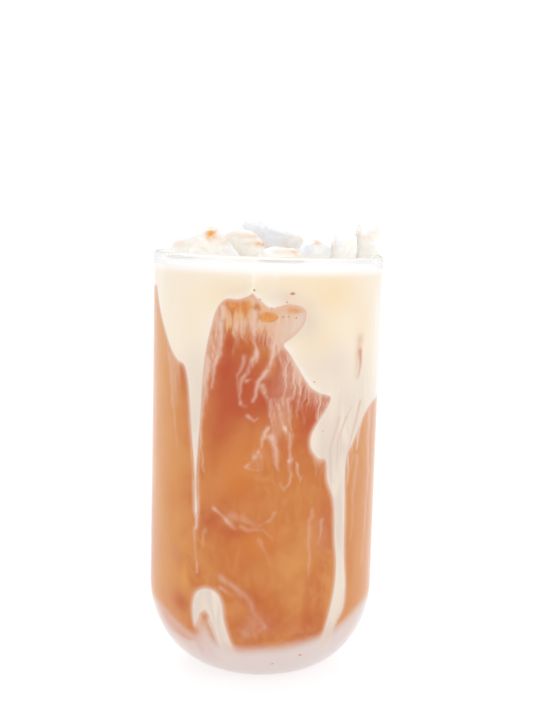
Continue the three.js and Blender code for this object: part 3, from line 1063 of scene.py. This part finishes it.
MILK_GREY = [
    (13.5, 122, 4.5, 7, 0.55), (5, 131.5, 6, 2.6, 0.5), (-8, 132.4, 5, 2.4, 0.35), (21, 109, 8, 7, 0.6),
    (-20, 100, 4, 12, 0.5), (24, 96, 8, 8, 0.55), (-23, 108, 5, 8, 0.4), (12, 108, 5, 5, 0.3),
    (31, 104, 5, 9, 0.35),
]
# where the milk at the wall is so thin that the tea shows through
THIN_MILK = [(-21.6, 76, 2.4, 17, 0.42)]
FROTH = [
    (-0.2, 139.6, 2.4, 2, 0.3), (-2.6, 137.8, 2, 2, 0.45), (1.8, 137.6, 1.8, 1.6, 0.4),
    (10.4, 140.6, 1.5, 1.0, 0.7), (34, 139, 3, 2.4, 0.5), (-34, 138, 3, 3, 0.5),
    (-33.5, 128, 2.4, 8, 0.3), (35, 124, 2.4, 14, 0.4),
]
MILK_PALE = [
    # width, strength and points of whiter lines in the milk
    (0.7, 0.8, [(-4.3, 140.4), (-4.2, 136), (-4.4, 131.9)]),
    (0.9, 0.55, [(-8.6, 131.2), (-6.6, 132), (-4.5, 133), (-2.2, 130.8), (1, 128.2), (5, 128.6)]),
    (1.2, 0.55, [(5.2, 116.4), (7.6, 113.2), (11.9, 106), (14.4, 102.8), (17.2, 100.9), (20.4, 100)]),
    (0.9, 0.5, [(-17.9, 117.8), (-15.6, 127), (-12.8, 130.4), (-9, 130.6)]),
    (0.9, 0.5, [(-35.4, 130), (-33.4, 119), (-30.4, 111.6), (-28, 108.9), (-25.8, 108)]),
    (1.5, 0.4, [(35, 128), (34.6, 112), (34.8, 98)]),
]
print(len(MILK_MARKS) + len(MILK_PALE), "lines in the milk")

# %% [markdown]
# Each list becomes one number on every point. Round the back more spots are strewn by a seeded rule, so
# that the drink is as lively from there. The pool's edge is where a tilted plane meets the wall, moved
# up or down a little in a few places.

# %% From lists to painted numbers
BACK_PATCHES = 12
PATCH_SEED = 21
PATCH_BEARINGS = (math.radians(85), math.radians(275))
PATCH_HEIGHTS = (35, 115)
PATCH_SIZES = (4, 11)
PATCH_STRENGTHS = (0.5, 1)
SOFT_EDGE = 0.75
SOFT_STRENGTH = 0.7
# bearings over which a lighter tone, painted reflection of the curved glass, comes in at the sides
SIDE_SHEEN_BEARINGS = (math.radians(28), math.radians(62))
MILK_BEGINS = (-0.4, 0.3)
POOL_SEAM = (-0.6, 0.6)
POOL_REACH = 12
MILK_EDGE_WIDTH = 1.1
SURFACE_DEPTH = 0.8
SLAB_MARGIN = 0.1
SURFACE_FADE = (WALL_RADIUS - 11, WALL_RADIUS - 4)
DISTANCE_SHARE = 4
POOL_FADE = (-1.8, 3.6)
POOL_RISES = [
    # bearing, reach round the wall and height in mm of where the pool's haze stands higher
    (-1.15, 0.42, 7.0), (1.15, 0.35, 3.5), (-0.5, 0.12, 2.0), (2.1, 0.3, 4.0), (3.0, 0.4, -3.5),
    (-2.3, 0.25, 5.0),
]


def unrolled(patches):
    """Soft spots seen from the front as spots on the unrolled wall."""
    return [(*round_the_wall([(x, z)])[0], *rest) for x, z, *rest in patches]


def back_patches(seed, strength):
    """Soft spots round the back, drawn by a seeded rule."""
    draw = np.random.default_rng(seed)
    made = []
    for _ in range(BACK_PATCHES):
        across = behind(draw.uniform(*PATCH_BEARINGS))
        size = draw.uniform(*PATCH_SIZES, 2)
        made.append((across, draw.uniform(*PATCH_HEIGHTS), *size, strength * draw.uniform(*PATCH_STRENGTHS)))
    return made


def layered(place, patches):
    return together([patch(place, *row) for row in patches])


def spots(place, patches, seed=None, strength=0):
    """How much soft spots cover each point, with more of them round the back where a seed is given."""
    more = back_patches(seed, strength) if seed else []
    return layered(place, unrolled(patches) + more)


def drawn(place, rows):
    """How much lines seen from the front cover each point."""
    return together([stroke(place, round_the_wall(path), width, strength) for width, strength, path in rows])


def pool_share(place):
    """How much of the pool's milk is seen: none above its edge, all a little below it."""
    across, up = place
    bearing = across / WALL_RADIUS
    back = -np.cos(bearing) * WALL_RADIUS
    side = np.sin(bearing) * WALL_RADIUS
    height = up - POOL_HEIGHT - back * math.tan(POOL_TILT[0]) - side * math.tan(POOL_TILT[1])
    for middle, reach, rise in POOL_RISES:
        way = short_way(across, middle * WALL_RADIUS) / WALL_RADIUS
        height = height - rise * np.exp(-(way / reach) ** 2)
    return 1 - smoothstep(*POOL_FADE, height)


def milk_outlines():
    """The milk's outlines on the unrolled wall."""
    shapes = (LEFT_LOBE, RIGHT_LOBE, HOOK)
    made = [np.array(round_the_wall(smooth_outline(shape, DISTANCE_SHARE))) for shape in shapes]
    for bearing, half, tip in TONGUES:
        middle = np.array((behind(math.radians(bearing)), 0))
        made.append(smooth_outline(tongue_outline(half, tip), DISTANCE_SHARE) + middle)
    return made


OUTLINES = milk_outlines()


def to_milk(place):
    """Distance to the nearest milk on the wall, less than zero in it."""
    return np.minimum.reduce([SLAB_FLOOR - place[1], *(distance_to(place, line) for line in OUTLINES)])


print("the milk has", len(OUTLINES), "outlines")


# %% Paint the tea and the milk
def paint_tea():
    place = wall_place(tea)
    swaying = wandering(place)
    store(tea, "threads", together([stroke(swaying, path, *row) for *row, path in ALL_THREADS]))
    store(tea, "veils", spots(swaying, CAVE_VEILS))
    store(tea, "pink", spots(swaying, PINKS_AND_EDGE_REFLECTION, PATCH_SEED + 2, 0.6))
    store(tea, "light", spots(swaying, PALES_AND_EDGE_REFLECTION, PATCH_SEED + 3, 0.6))
    away = np.maximum(to_milk(place) + spots(place, THIN_MILK), 0)
    store(tea, "soft", SOFT_STRENGTH * np.exp(-(away / SOFT_EDGE) ** 2))
    store(tea, "pool", pool_share(place))
    store(tea, "blush", spots(place, MILK_BLUSH))
    store(tea, "drips", together([drawn(place, DRIPS), spots(swaying, DRIP_CLOUDS)]))
    store(tea, "glow", spots(swaying, GLOWS, PATCH_SEED, 0.7))
    store(tea, "yellow", spots(swaying, YELLOWS))
    store(tea, "cave", spots(swaying, CAVE_GLOWS))
    store(tea, "deep", spots(swaying, DEPTHS, PATCH_SEED + 1, 0.7))
    # painted reflection: the tea turns lighter towards its left and right edges
    store(tea, "side", smoothstep(*SIDE_SHEEN_BEARINGS, np.abs(place[0]) / WALL_RADIUS))


def paint_milk():
    place = wall_place(milk)
    x, y, z = points_of(milk).T
    inside = to_milk(place) + spots(place, THIN_MILK)
    body = np.maximum(pool_share(place), 1 - smoothstep(*MILK_BEGINS, inside))
    solid = np.maximum(body, np.minimum(drawn(place, DRIPS), 1))
    slab = z > SLAB_FLOOR - SLAB_MARGIN
    store(milk, "milky", np.where(slab, 1, solid))
    store(milk, "pool", smoothstep(*POOL_SEAM, inside) * (z < POOL_HEIGHT + POOL_REACH))
    store(milk, "edge", np.where(slab, 0, np.exp(-(inside / MILK_EDGE_WIDTH) ** 2)))
    store(milk, "blush", spots(place, MILK_BLUSH))
    store(milk, "warm", spots(place, MILK_WARM, PATCH_SEED + 4, 0.8))
    store(milk, "grey", spots(place, MILK_GREY))
    open_middle = 1 - smoothstep(*SURFACE_FADE, np.hypot(x, y))
    store(milk, "surface", (z > LEVEL - SURFACE_DEPTH) * open_middle)
    store(milk, "marks", drawn(place, MILK_MARKS))
    store(milk, "pale", together([drawn(wandering(place), MILK_PALE), spots(place, FROTH)]))


paint_tea()
paint_milk()
print("painted", len(tea.data.attributes), "and", len(milk.data.attributes), "attributes")

# %% [markdown]
# ## The tea's finish
# Thai tea with milk is cloudy, so behind the glass it shows a soft opaque orange-brown with cloudy
# swirls. The colour is mixed from a few tones by slow noise, drawn out along the height as sinking
# liquids are, and by the painted numbers. Fine noise frays the threads. It needs little gloss of its
# own: the glass in front of it shines.

# %% Tea material
MILK_CREAM = srgb(239, 213, 174)
MILK_LIGHT = srgb(240, 225, 203)
MILK_FOAM = srgb(250, 247, 243)
MILK_STREAM = srgb(219, 202, 187)
MILK_EDGE = srgb(231, 215, 206)
TEA_IN_MILK = srgb(204, 142, 110)
TEA_MIDDLE = srgb(192, 104, 30)
TEA_DEEP = srgb(176, 58, 0)
TEA_PALE = srgb(208, 136, 66)
TEA_PINK = srgb(202, 126, 84)
TEA_GLOW = srgb(205, 115, 30)
TEA_YELLOW = srgb(214, 143, 62)
# painted reflection: the lighter tone of the tea towards its left and right edges
TEA_SIDE_SHEEN = srgb(216, 149, 80)
TEA_VEIL = srgb(222, 182, 160)
CAVE_VEIL = srgb(221, 172, 128)
CAVE_GLOW = srgb(218, 134, 54)
POOL_COLOUR = srgb(220, 204, 199)


def tea_material():
    nodes = Nodes("milk_tea")
    number = nodes.attribute
    clouds = nodes.noise(62, 5, (1, 1, 0.75), 0.6, 1.4)
    swirl = nodes.noise(130, 6, (1, 1, 0.6), 0.62, 2.4)
    fine = nodes.noise(330, 5, (1, 1, 0.35), 0.65, 0.8)
    wisps = nodes.noise(150, 7, (1, 1, 0.5), 0.6, 3.2)
    rays = nodes.noise(260, 5, (1, 1, 0.16), 0.62, 1.2)
    flames = nodes.math("ADD", number("veils"), nodes.ramp(rays, 0.36, 0.64, -0.42, 0.2))

    def painted(name, low, high):
        """A painted number, frayed by the swirls."""
        return nodes.times(number(name), nodes.ramp(swirl, 0.36, 0.6, low, high))

    colour = nodes.over(TEA_MIDDLE, [
        (nodes.ramp(clouds, 0.4, 0.64, 0, 0.65), TEA_PALE),
        (nodes.ramp(swirl, 0.5, 0.7, 0, 0.35), TEA_PINK),
        # painted reflection at the left and right edges
        (nodes.times(number("side"), 0.75), TEA_SIDE_SHEEN),
        (nodes.ramp(wisps, 0.5, 0.6, 0, 0.32), TEA_PALE),
        (painted("deep", 1.0, 0.92), TEA_DEEP),
        (painted("light", 0.6, 1.0), TEA_PALE),
        (painted("glow", 1.0, 0.75), TEA_GLOW),
        (painted("pink", 0.35, 1.0), TEA_PINK),
        (painted("yellow", 0.9, 0.6), TEA_YELLOW),
        (nodes.ramp(flames, 0.16, 0.72, 0, 0.94), CAVE_VEIL),
        (number("drips"), MILK_STREAM),
        (painted("cave", 0.7, 1.0), CAVE_GLOW),
        (nodes.times(number("threads"), nodes.ramp(fine, 0.36, 0.56, 0.45, 1.25)), TEA_VEIL),
        (number("soft"), TEA_VEIL),
        (number("pool"), POOL_COLOUR),
        (nodes.times(number("blush"), number("pool")), TEA_IN_MILK),
    ])
    shader = nodes.add("ShaderNodeBsdfPrincipled", Base_Color=colour, Roughness=0.5,
                       Specular_IOR_Level=0.0)
    return nodes.finish(shader.outputs[0])


wear(tea, tea_material())
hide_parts("tea")
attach(tea, "root")

# %% [markdown]
# ## The milk's finish
# The milk is thick and opaque. It is warm cream at the top, where it has taken up some tea, whiter
# just under the surface, and greyer and pinker lower down, in the streams and the pool. Its fall to a
# darker tone towards the bottom is partly its own colour and partly painted shade, for light that comes
# from above. Noise drawn out along the height gives it faint flow lines. Light goes a little way into
# milk, so it gets some subsurface scattering.

# %% Milk material
# the stream's greyer tone, partly painted shade lower down, gives way to cream between these heights
STREAM_AND_SHADE_TO_CREAM = (78 * MM, 116 * MM)
CREAM_TO_FOAM = ((LEVEL - 4.2) * MM, (LEVEL - 0.8) * MM)
POOL_TO_STREAM = (10 * MM, 19 * MM)


def milk_material():
    nodes = Nodes("milk")
    number = nodes.attribute
    height = nodes.height()
    slow = nodes.noise(40, 3, (1, 1, 0.6), 0.5, 0.6)
    flow = nodes.noise(160, 4, (1, 1, 0.22), 0.5, 1.0)
    frayed = nodes.ramp(flow, 0.38, 0.62, 0.2, 0.75)
    uneven = nodes.ramp(flow, 0.35, 0.65, 0.5, 1.0)
    patchy = nodes.ramp(nodes.noise(75, 5, (1, 1, 1), 0.6, 1.6), 0.38, 0.62, 0.3, 0.95)
    cream = nodes.over(MILK_LIGHT, [
        (nodes.times(number("warm"), nodes.ramp(slow, 0.36, 0.64, 0.75, 1.0)), MILK_CREAM),
        (number("grey"), MILK_STREAM),
    ])
    # the lower milk: greyer stream tone, partly painted shade
    stream = nodes.mix(nodes.ramp(flow, 0.4, 0.66, 0, 0.5), MILK_STREAM, MILK_LIGHT)
    colour = nodes.over(stream, [
        (nodes.ramp(height, *STREAM_AND_SHADE_TO_CREAM), cream),
        (nodes.ramp(height, *CREAM_TO_FOAM), MILK_FOAM),
        (nodes.times(number("edge"), frayed), MILK_EDGE),
        (nodes.times(number("pale"), frayed), MILK_FOAM),
        (number("marks"), TEA_IN_MILK),
        (nodes.math("MAXIMUM", number("pool"), nodes.ramp(height, *POOL_TO_STREAM, 1, 0)), POOL_COLOUR),
        (nodes.times(number("surface"), patchy), MILK_LIGHT),
        (nodes.times(number("blush"), uneven), TEA_IN_MILK),
    ])
    colour = nodes.mix(number("milky"), TEA_PALE, colour)
    shader = nodes.add("ShaderNodeBsdfPrincipled", Base_Color=colour, Roughness=0.35,
                       Specular_IOR_Level=0.1, Subsurface_Weight=0.12,
                       Subsurface_Radius=(1.0, 0.8, 0.6), Subsurface_Scale=0.0008)
    return nodes.finish(shader.outputs[0])


wear(milk, milk_material())
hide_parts("milk")
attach(milk, "root")

# %% [markdown]
# ## Stains and painted cool shade on the ice
# Tea has stained some edges of the lumps. Some of their faces look cool and bluish: that is painted
# shade and reflection, the grey-blue that faces take from the greyer surround they bend and mirror.
# Both could be cut as separate pieces of colour, but they fade out softly on the real ice. So they are
# soft spots again, as seen from the front, with a list for each lump.

# %% Spots painted on the ice
ICE_SPOTS = {
    # for a node and a number: x and z seen from the front, size across and up, strength
    "ice_back_left": {"cream": [(-26, 143, 6, 4, 0.6)]},
    "ice_back_right": {"stain": [(26, 143.6, 3, 1.4, 0.4)]},
    "ice_back_small": {"blue": [(-17, 143, 3, 3, 0.5)]},
    "ice_centre": {"cream": [(8, 143, 6, 4, 0.7)]},
    "ice_finger": {
        "cream": [(33, 145, 3, 3, 0.4)],
        "blue": [(36, 147, 1.4, 0.6, 0.7), (34, 151.6, 2.4, 0.6, 0.9)],
    },
    "ice_front": {
        "stain": [(8.2, 144.9, 3.4, 0.7, 0.5)],
        "cream": [(4, 144, 8, 4, 0.7)],
    },
    "ice_hump": {
        "cream": [(26, 148, 4, 1.6, 0.8)],
        "blue": [(23.6, 147.6, 2.2, 2.0, 0.55)],
    },
    "ice_left": {
        "stain": [(-19.2, 149.6, 1.9, 2.2, 1.0), (-23.5, 152.4, 2.6, 0.9, 0.55),
                  (-14.6, 147.6, 2.6, 2.0, 0.3), (-31, 146.5, 3.5, 1.6, 0.25)],
        "cream": [(-24, 145, 9, 4, 0.5)],
    },
    "ice_middle": {
        "stain": [(-9, 152, 3.4, 0.6, 0.4), (-3.0, 146.2, 2.6, 0.8, 0.75), (-6.6, 148.8, 3.0, 0.7, 0.4)],
        "cream": [(-8, 146, 8, 6, 0.8)],
    },
    "ice_slab": {"blue": [(-3.5, 149.6, 7, 4, 0.9), (1, 148, 3, 3, 0.4)]},
    "ice_small": {
        "stain": [(16, 147.6, 1.5, 1.1, 0.6)],
        "blue": [(12.8, 146, 2.4, 2.4, 0.8)],
    },
}


def paint_ice(node, piece):
    x, _, z = points_of(piece).T
    for name in ("stain", "cream", "blue"):
        rows = ICE_SPOTS[node].get(name)
        store(piece, name, layered((x, z), rows) if rows else np.zeros_like(x))


for node, piece in ice.items():
    paint_ice(node, piece)
print("ice painted")

# %% [markdown]
# ## Ice's finish
# Wet ice out of a milky drink is partly clear and partly white: milk clings to it, and it is full of
# fine cracks. The shader lets some light through where noise says that the ice is clear, and softened
# cells of a second pattern give it fine veins. Part of the scattered light passes the lumps too, so
# that the gaps between them don't go dark.

# %% Ice material
ICE_WHITE = srgb(252, 251, 249)
ICE_CREAM = srgb(250, 240, 225)
ICE_VEIN = srgb(244, 226, 208)
# painted shade: the grey-blue of faces that bend and mirror the greyer surround
ICE_BLUE_SHADE = srgb(240, 243, 250)
ICE_STAIN = srgb(234, 160, 50)
ICE_FILM = (0.97, 0.97, 0.97, 1)
MILK_CLIMB = 4


def ice_material():
    nodes = Nodes("ice")
    number = nodes.attribute
    cracks = nodes.noise(170, 5, (1, 1, 1), 0.6, 1.2)
    slow = nodes.noise(70, 3, (1, 1, 1), 0.5, 0.5)
    bent = nodes.add("ShaderNodeMapping", Vector=nodes.place, Rotation=(0.5, 0.3, 0.7), Scale=(1, 0.5, 1))
    cells = nodes.add("ShaderNodeTexVoronoi", {"feature": "SMOOTH_F1"}, Vector=bent.outputs[0], Scale=260)
    veins = nodes.ramp(cells.outputs["Distance"], 0.42, 0.62, 0, 0.55)
    colour = nodes.over(ICE_WHITE, [
        (nodes.ramp(slow, 0.4, 0.65, 0, 0.4), ICE_CREAM),
        (nodes.ramp(nodes.height(), LEVEL * MM, (LEVEL + MILK_CLIMB) * MM, 0.5, 0), MILK_FOAM),
        (number("cream"), ICE_CREAM),
        # painted shade on the cool faces
        (number("blue"), ICE_BLUE_SHADE),
        (nodes.times(veins, nodes.ramp(slow, 0.4, 0.6, 0.2, 1)), ICE_VEIN),
        (nodes.times(number("stain"), nodes.ramp(cracks, 0.38, 0.5, 0.6, 1)), ICE_STAIN),
    ])
    clear = nodes.ramp(cracks, 0.4, 0.62, 0.0, 0.12)
    dimples = nodes.bump(nodes.noise(230, 3), 0.0004, 0.5)
    shader = nodes.add("ShaderNodeBsdfPrincipled", Base_Color=colour, Roughness=0.16, IOR=1.31,
                       Transmission_Weight=clear, Subsurface_Weight=0.4,
                       Subsurface_Radius=(1.0, 0.95, 0.9), Subsurface_Scale=0.003, Normal=dimples)
    return nodes.finish(film_for_light(nodes, shader.outputs[0], ICE_FILM, ("Is Diffuse Ray",)))


wet_ice = ice_material()
for node, piece in ice.items():
    wear(piece, wet_ice)
    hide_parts(node)
    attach(piece, "root")
print("ice finished on", len(ice), "lumps")

# %% [markdown]
# ## Bubbles on the wall
# Under the cream sits one big flat bubble, pressed against the glass, through which clear orange tea
# shows, with a string of tiny ones beside it. Each is a flat cushion that follows the wall, with its
# outer face just in the glass and a pale rim, a painted highlight where light catches the bubble's edge.

# %% Wall bubbles
BUBBLES = [
    # x and z seen from the front, half width, half height, and tilt in degrees where there is one
    (0.3, 124.7, 3.0, 1.6), (-10.9, 128.4, 1.0, 0.9), (-4.1, 133.0, 0.36, 0.36), (7.7, 132.2, 0.8, 0.4),
    (-5.6, 127.5, 0.25, 0.25), (-4.7, 127.7, 0.28, 0.28), (-3.3, 127.3, 0.24, 0.24),
    (-2.3, 127.1, 0.34, 0.3), (1.4, 127.6, 0.22, 0.22), (-2.3, 130.2, 0.25, 0.25),
    (5.0, 124.9, 0.34, 0.32), (6.7, 125.0, 0.26, 0.26), (9.0, 124.6, 0.32, 0.3), (6.0, 129.5, 0.24, 0.24),
    (15.2, 104.2, 0.3, 0.26), (18.4, 88.1, 0.22, 0.22), (4.4, 9.9, 0.6, 0.26),
    (13.1, 12.7, 1.1, 0.22, -20), (-24.1, 16.7, 0.9, 0.22, -40), (-22, 15.1, 0.5, 0.2, -30),
]
BUBBLE_RINGS = 7
BUBBLE_SIDES = 32
BUBBLE_THICKNESS = 0.45
BUBBLE_IN_GLASS = 0.14


def wall_point(across, height, outward):
    radius = hollow_radius(height) + outward
    bearing = across / WALL_RADIUS
    return radius * math.sin(bearing), -radius * math.cos(bearing), height


def flat_bubble(x, z, half_width, half_height, tilt=0):
    """Points and faces of a flat cushion on the wall, and how near its rim each point is, for a painted
    highlight.
    """
    across = round_the_wall([(x, z)])[0][0]
    c, s = math.cos(math.radians(tilt)), math.sin(math.radians(tilt))
    thickness = min(half_width, half_height, BUBBLE_THICKNESS)
    shares = [ring / BUBBLE_RINGS for ring in range(1, BUBBLE_RINGS + 1)]
    rings = [(share, thickness * math.sqrt(1 - share * share)) for share in shares]
    rings += [(share, 0) for share in shares[-2::-1]]
    points = []
    for share, depth in rings:
        for angle in even_bearings(BUBBLE_SIDES):
            u, v = half_width * share * math.cos(angle), half_height * share * math.sin(angle)
            points.append(wall_point(across + c * u - s * v, z + s * u + c * v, BUBBLE_IN_GLASS - depth))
    rim_highlights = np.repeat([share for share, _ in rings], BUBBLE_SIDES)
    return points, capped(len(rings), BUBBLE_SIDES), rim_highlights


def joined(name, parts):
    """One object from several lists of points and faces."""
    points, faces = [], []
    for part_points, part_faces in parts:
        faces += [[len(points) + i for i in face] for face in part_faces]
        points += list(part_points)
    return new_object(name, points, faces)


flat_bubbles = [flat_bubble(*row) for row in BUBBLES]
wall_bubbles = joined("wall_bubbles", [(points, faces) for points, faces, _ in flat_bubbles])
store(wall_bubbles, "rim_highlight", np.concatenate([rim_highlights for *_, rim_highlights in flat_bubbles]))
print("wall bubbles:", len(wall_bubbles.data.polygons), "faces")

# %% Bubble material
BUBBLE_TEA = srgb(222, 140, 50)
BUBBLE_DARK = srgb(210, 122, 38)


def bubble_material():
    nodes = Nodes("bubble_tea")
    colour = nodes.over(BUBBLE_DARK, [
        (nodes.ramp(nodes.noise(500, 2), 0.4, 0.6), BUBBLE_TEA),
        # painted highlight: a pale ring at each bubble's edge
        (nodes.ramp(nodes.attribute("rim_highlight"), 0.8, 1.0, 0, 0.9), CAVE_VEIL),
    ])
    shader = nodes.add("ShaderNodeBsdfPrincipled", Base_Color=colour, Roughness=0.3)
    return nodes.finish(shader.outputs[0])


wear(wall_bubbles, bubble_material())
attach(wall_bubbles, "root")

# %% [markdown]
# ## Foam
# Pouring leaves a little foam: crumbs of fine bubbles along the wall and the ice, away from the front
# of the rim, which is clean in the photograph. Bubbles are balls that sit half in the milk. A seeded
# rule strews them, in clumps, and drops those that would lie in the ice.

# %% Foam bubbles
FOAM_SEED = 31
FOAM_CLUMPS = 26
FOAM_IN_CLUMP = 14
FOAM_KEEPS_OFF = math.radians(62)
FOAM_SPREADS = (0.6, 2.2)
FOAM_FROM_WALL = 0.6
FOAM_STRAYS = 5
FOAM_RADII = (0.16, 0.55)
FOAM_GAP = 0.05
FOAM_RISE, FOAM_RISE_SHARE = 0.25, 0.3
BALL_ROWS, BALL_SIDES = 8, 14
BALL_FLATNESS = 0.8
ABOVE_ALL = 0.2


def ball(at, radius):
    """Points and faces of a slightly flattened ball."""
    polar = np.linspace(0, math.pi, BALL_ROWS + 1)
    profile = np.column_stack([radius * np.sin(polar), -BALL_FLATNESS * radius * np.cos(polar)])
    points, faces = turned_form(profile, even_bearings(BALL_SIDES) + math.pi / 2)
    return points + at, faces


def in_ice(x, y, radius):
    """Whether a ray down at this place meets ice near the level."""
    for piece in ice.values():
        hit, spot, *_ = piece.ray_cast(Vector((x * MM, y * MM, ABOVE_ALL)), Vector((0, 0, -1)))
        if hit and spot.z > (LEVEL - radius) * MM:
            return True
    return False


def foam_clumps(draw, edge):
    """The middle of each clump of foam and how far it spreads."""
    clumps = []
    for _ in range(FOAM_CLUMPS):
        bearing = draw.uniform(FOAM_KEEPS_OFF, 2 * math.pi - FOAM_KEEPS_OFF)
        reach = edge - abs(draw.normal(0, FOAM_STRAYS)) - FOAM_FROM_WALL
        spot = (reach * math.sin(bearing), -reach * math.cos(bearing))
        clumps.append((spot, draw.uniform(*FOAM_SPREADS)))
    return clumps


def foam_bubbles():
    draw = np.random.default_rng(FOAM_SEED)
    edge = wall_radius(LEVEL) - WALL_THICKNESS
    made = []
    for (x, y), spread in foam_clumps(draw, edge):
        for _ in range(FOAM_IN_CLUMP):
            radius = draw.uniform(*FOAM_RADII)
            bx, by = x + draw.normal(0, spread / 2), y + draw.normal(0, spread / 2)
            inward = min(1, (edge - radius - FOAM_GAP) / math.hypot(bx, by))
            bx, by = bx * inward, by * inward
            if not in_ice(bx, by, radius):
                made.append(ball((bx, by, LEVEL + FOAM_RISE + FOAM_RISE_SHARE * radius), radius))
    return made


foam = joined("foam", foam_bubbles())
print("foam:", len(foam.data.polygons), "faces")


# %% Foam material
def foam_material():
    nodes = Nodes("foam")
    colour = nodes.mix(nodes.ramp(nodes.noise(900, 2), 0.4, 0.6), MILK_FOAM, MILK_LIGHT)
    shader = nodes.add("ShaderNodeBsdfPrincipled", Base_Color=colour, Roughness=0.1, Subsurface_Weight=0.3,
                       Subsurface_Radius=(1.0, 0.9, 0.8), Subsurface_Scale=0.0008)
    return nodes.finish(shader.outputs[0])


wear(foam, foam_material())
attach(foam, "root")

# %% [markdown]
# ## The floor
# A plain white sheet that the glass stands on. It isn't part of the object.
# It glows a little, like a light table, so that no horizon and hardly a shadow shows and the pool of
# milk at the bottom stays bright.

# %% Floor
FLOOR_SIDE = 3000
FLOOR_GLOW = 0.5
PAPER_LIGHT = (0.6, 0.6, 0.6, 1)
PAPER_DARK = (0.595, 0.595, 0.595, 1)


def floor_material():
    nodes = Nodes("floor")
    colour = nodes.mix(nodes.ramp(nodes.noise(40, 2), 0.3, 0.7), PAPER_LIGHT, PAPER_DARK)
    shader = nodes.add("ShaderNodeBsdfDiffuse", Color=colour)
    glow = nodes.add("ShaderNodeEmission", Strength=FLOOR_GLOW)
    both = nodes.add("ShaderNodeAddShader")
    nodes.put(both.inputs[0], shader.outputs[0])
    nodes.put(both.inputs[1], glow.outputs[0])
    return nodes.finish(both.outputs[0])


corners = [(x * FLOOR_SIDE, y * FLOOR_SIDE, 0) for x, y in ((-1, -1), (1, -1), (1, 1), (-1, 1))]
floor = new_object("floor", corners, [(0, 1, 2, 3)], smooth=False)
wear(floor, floor_material())
print("floor laid")
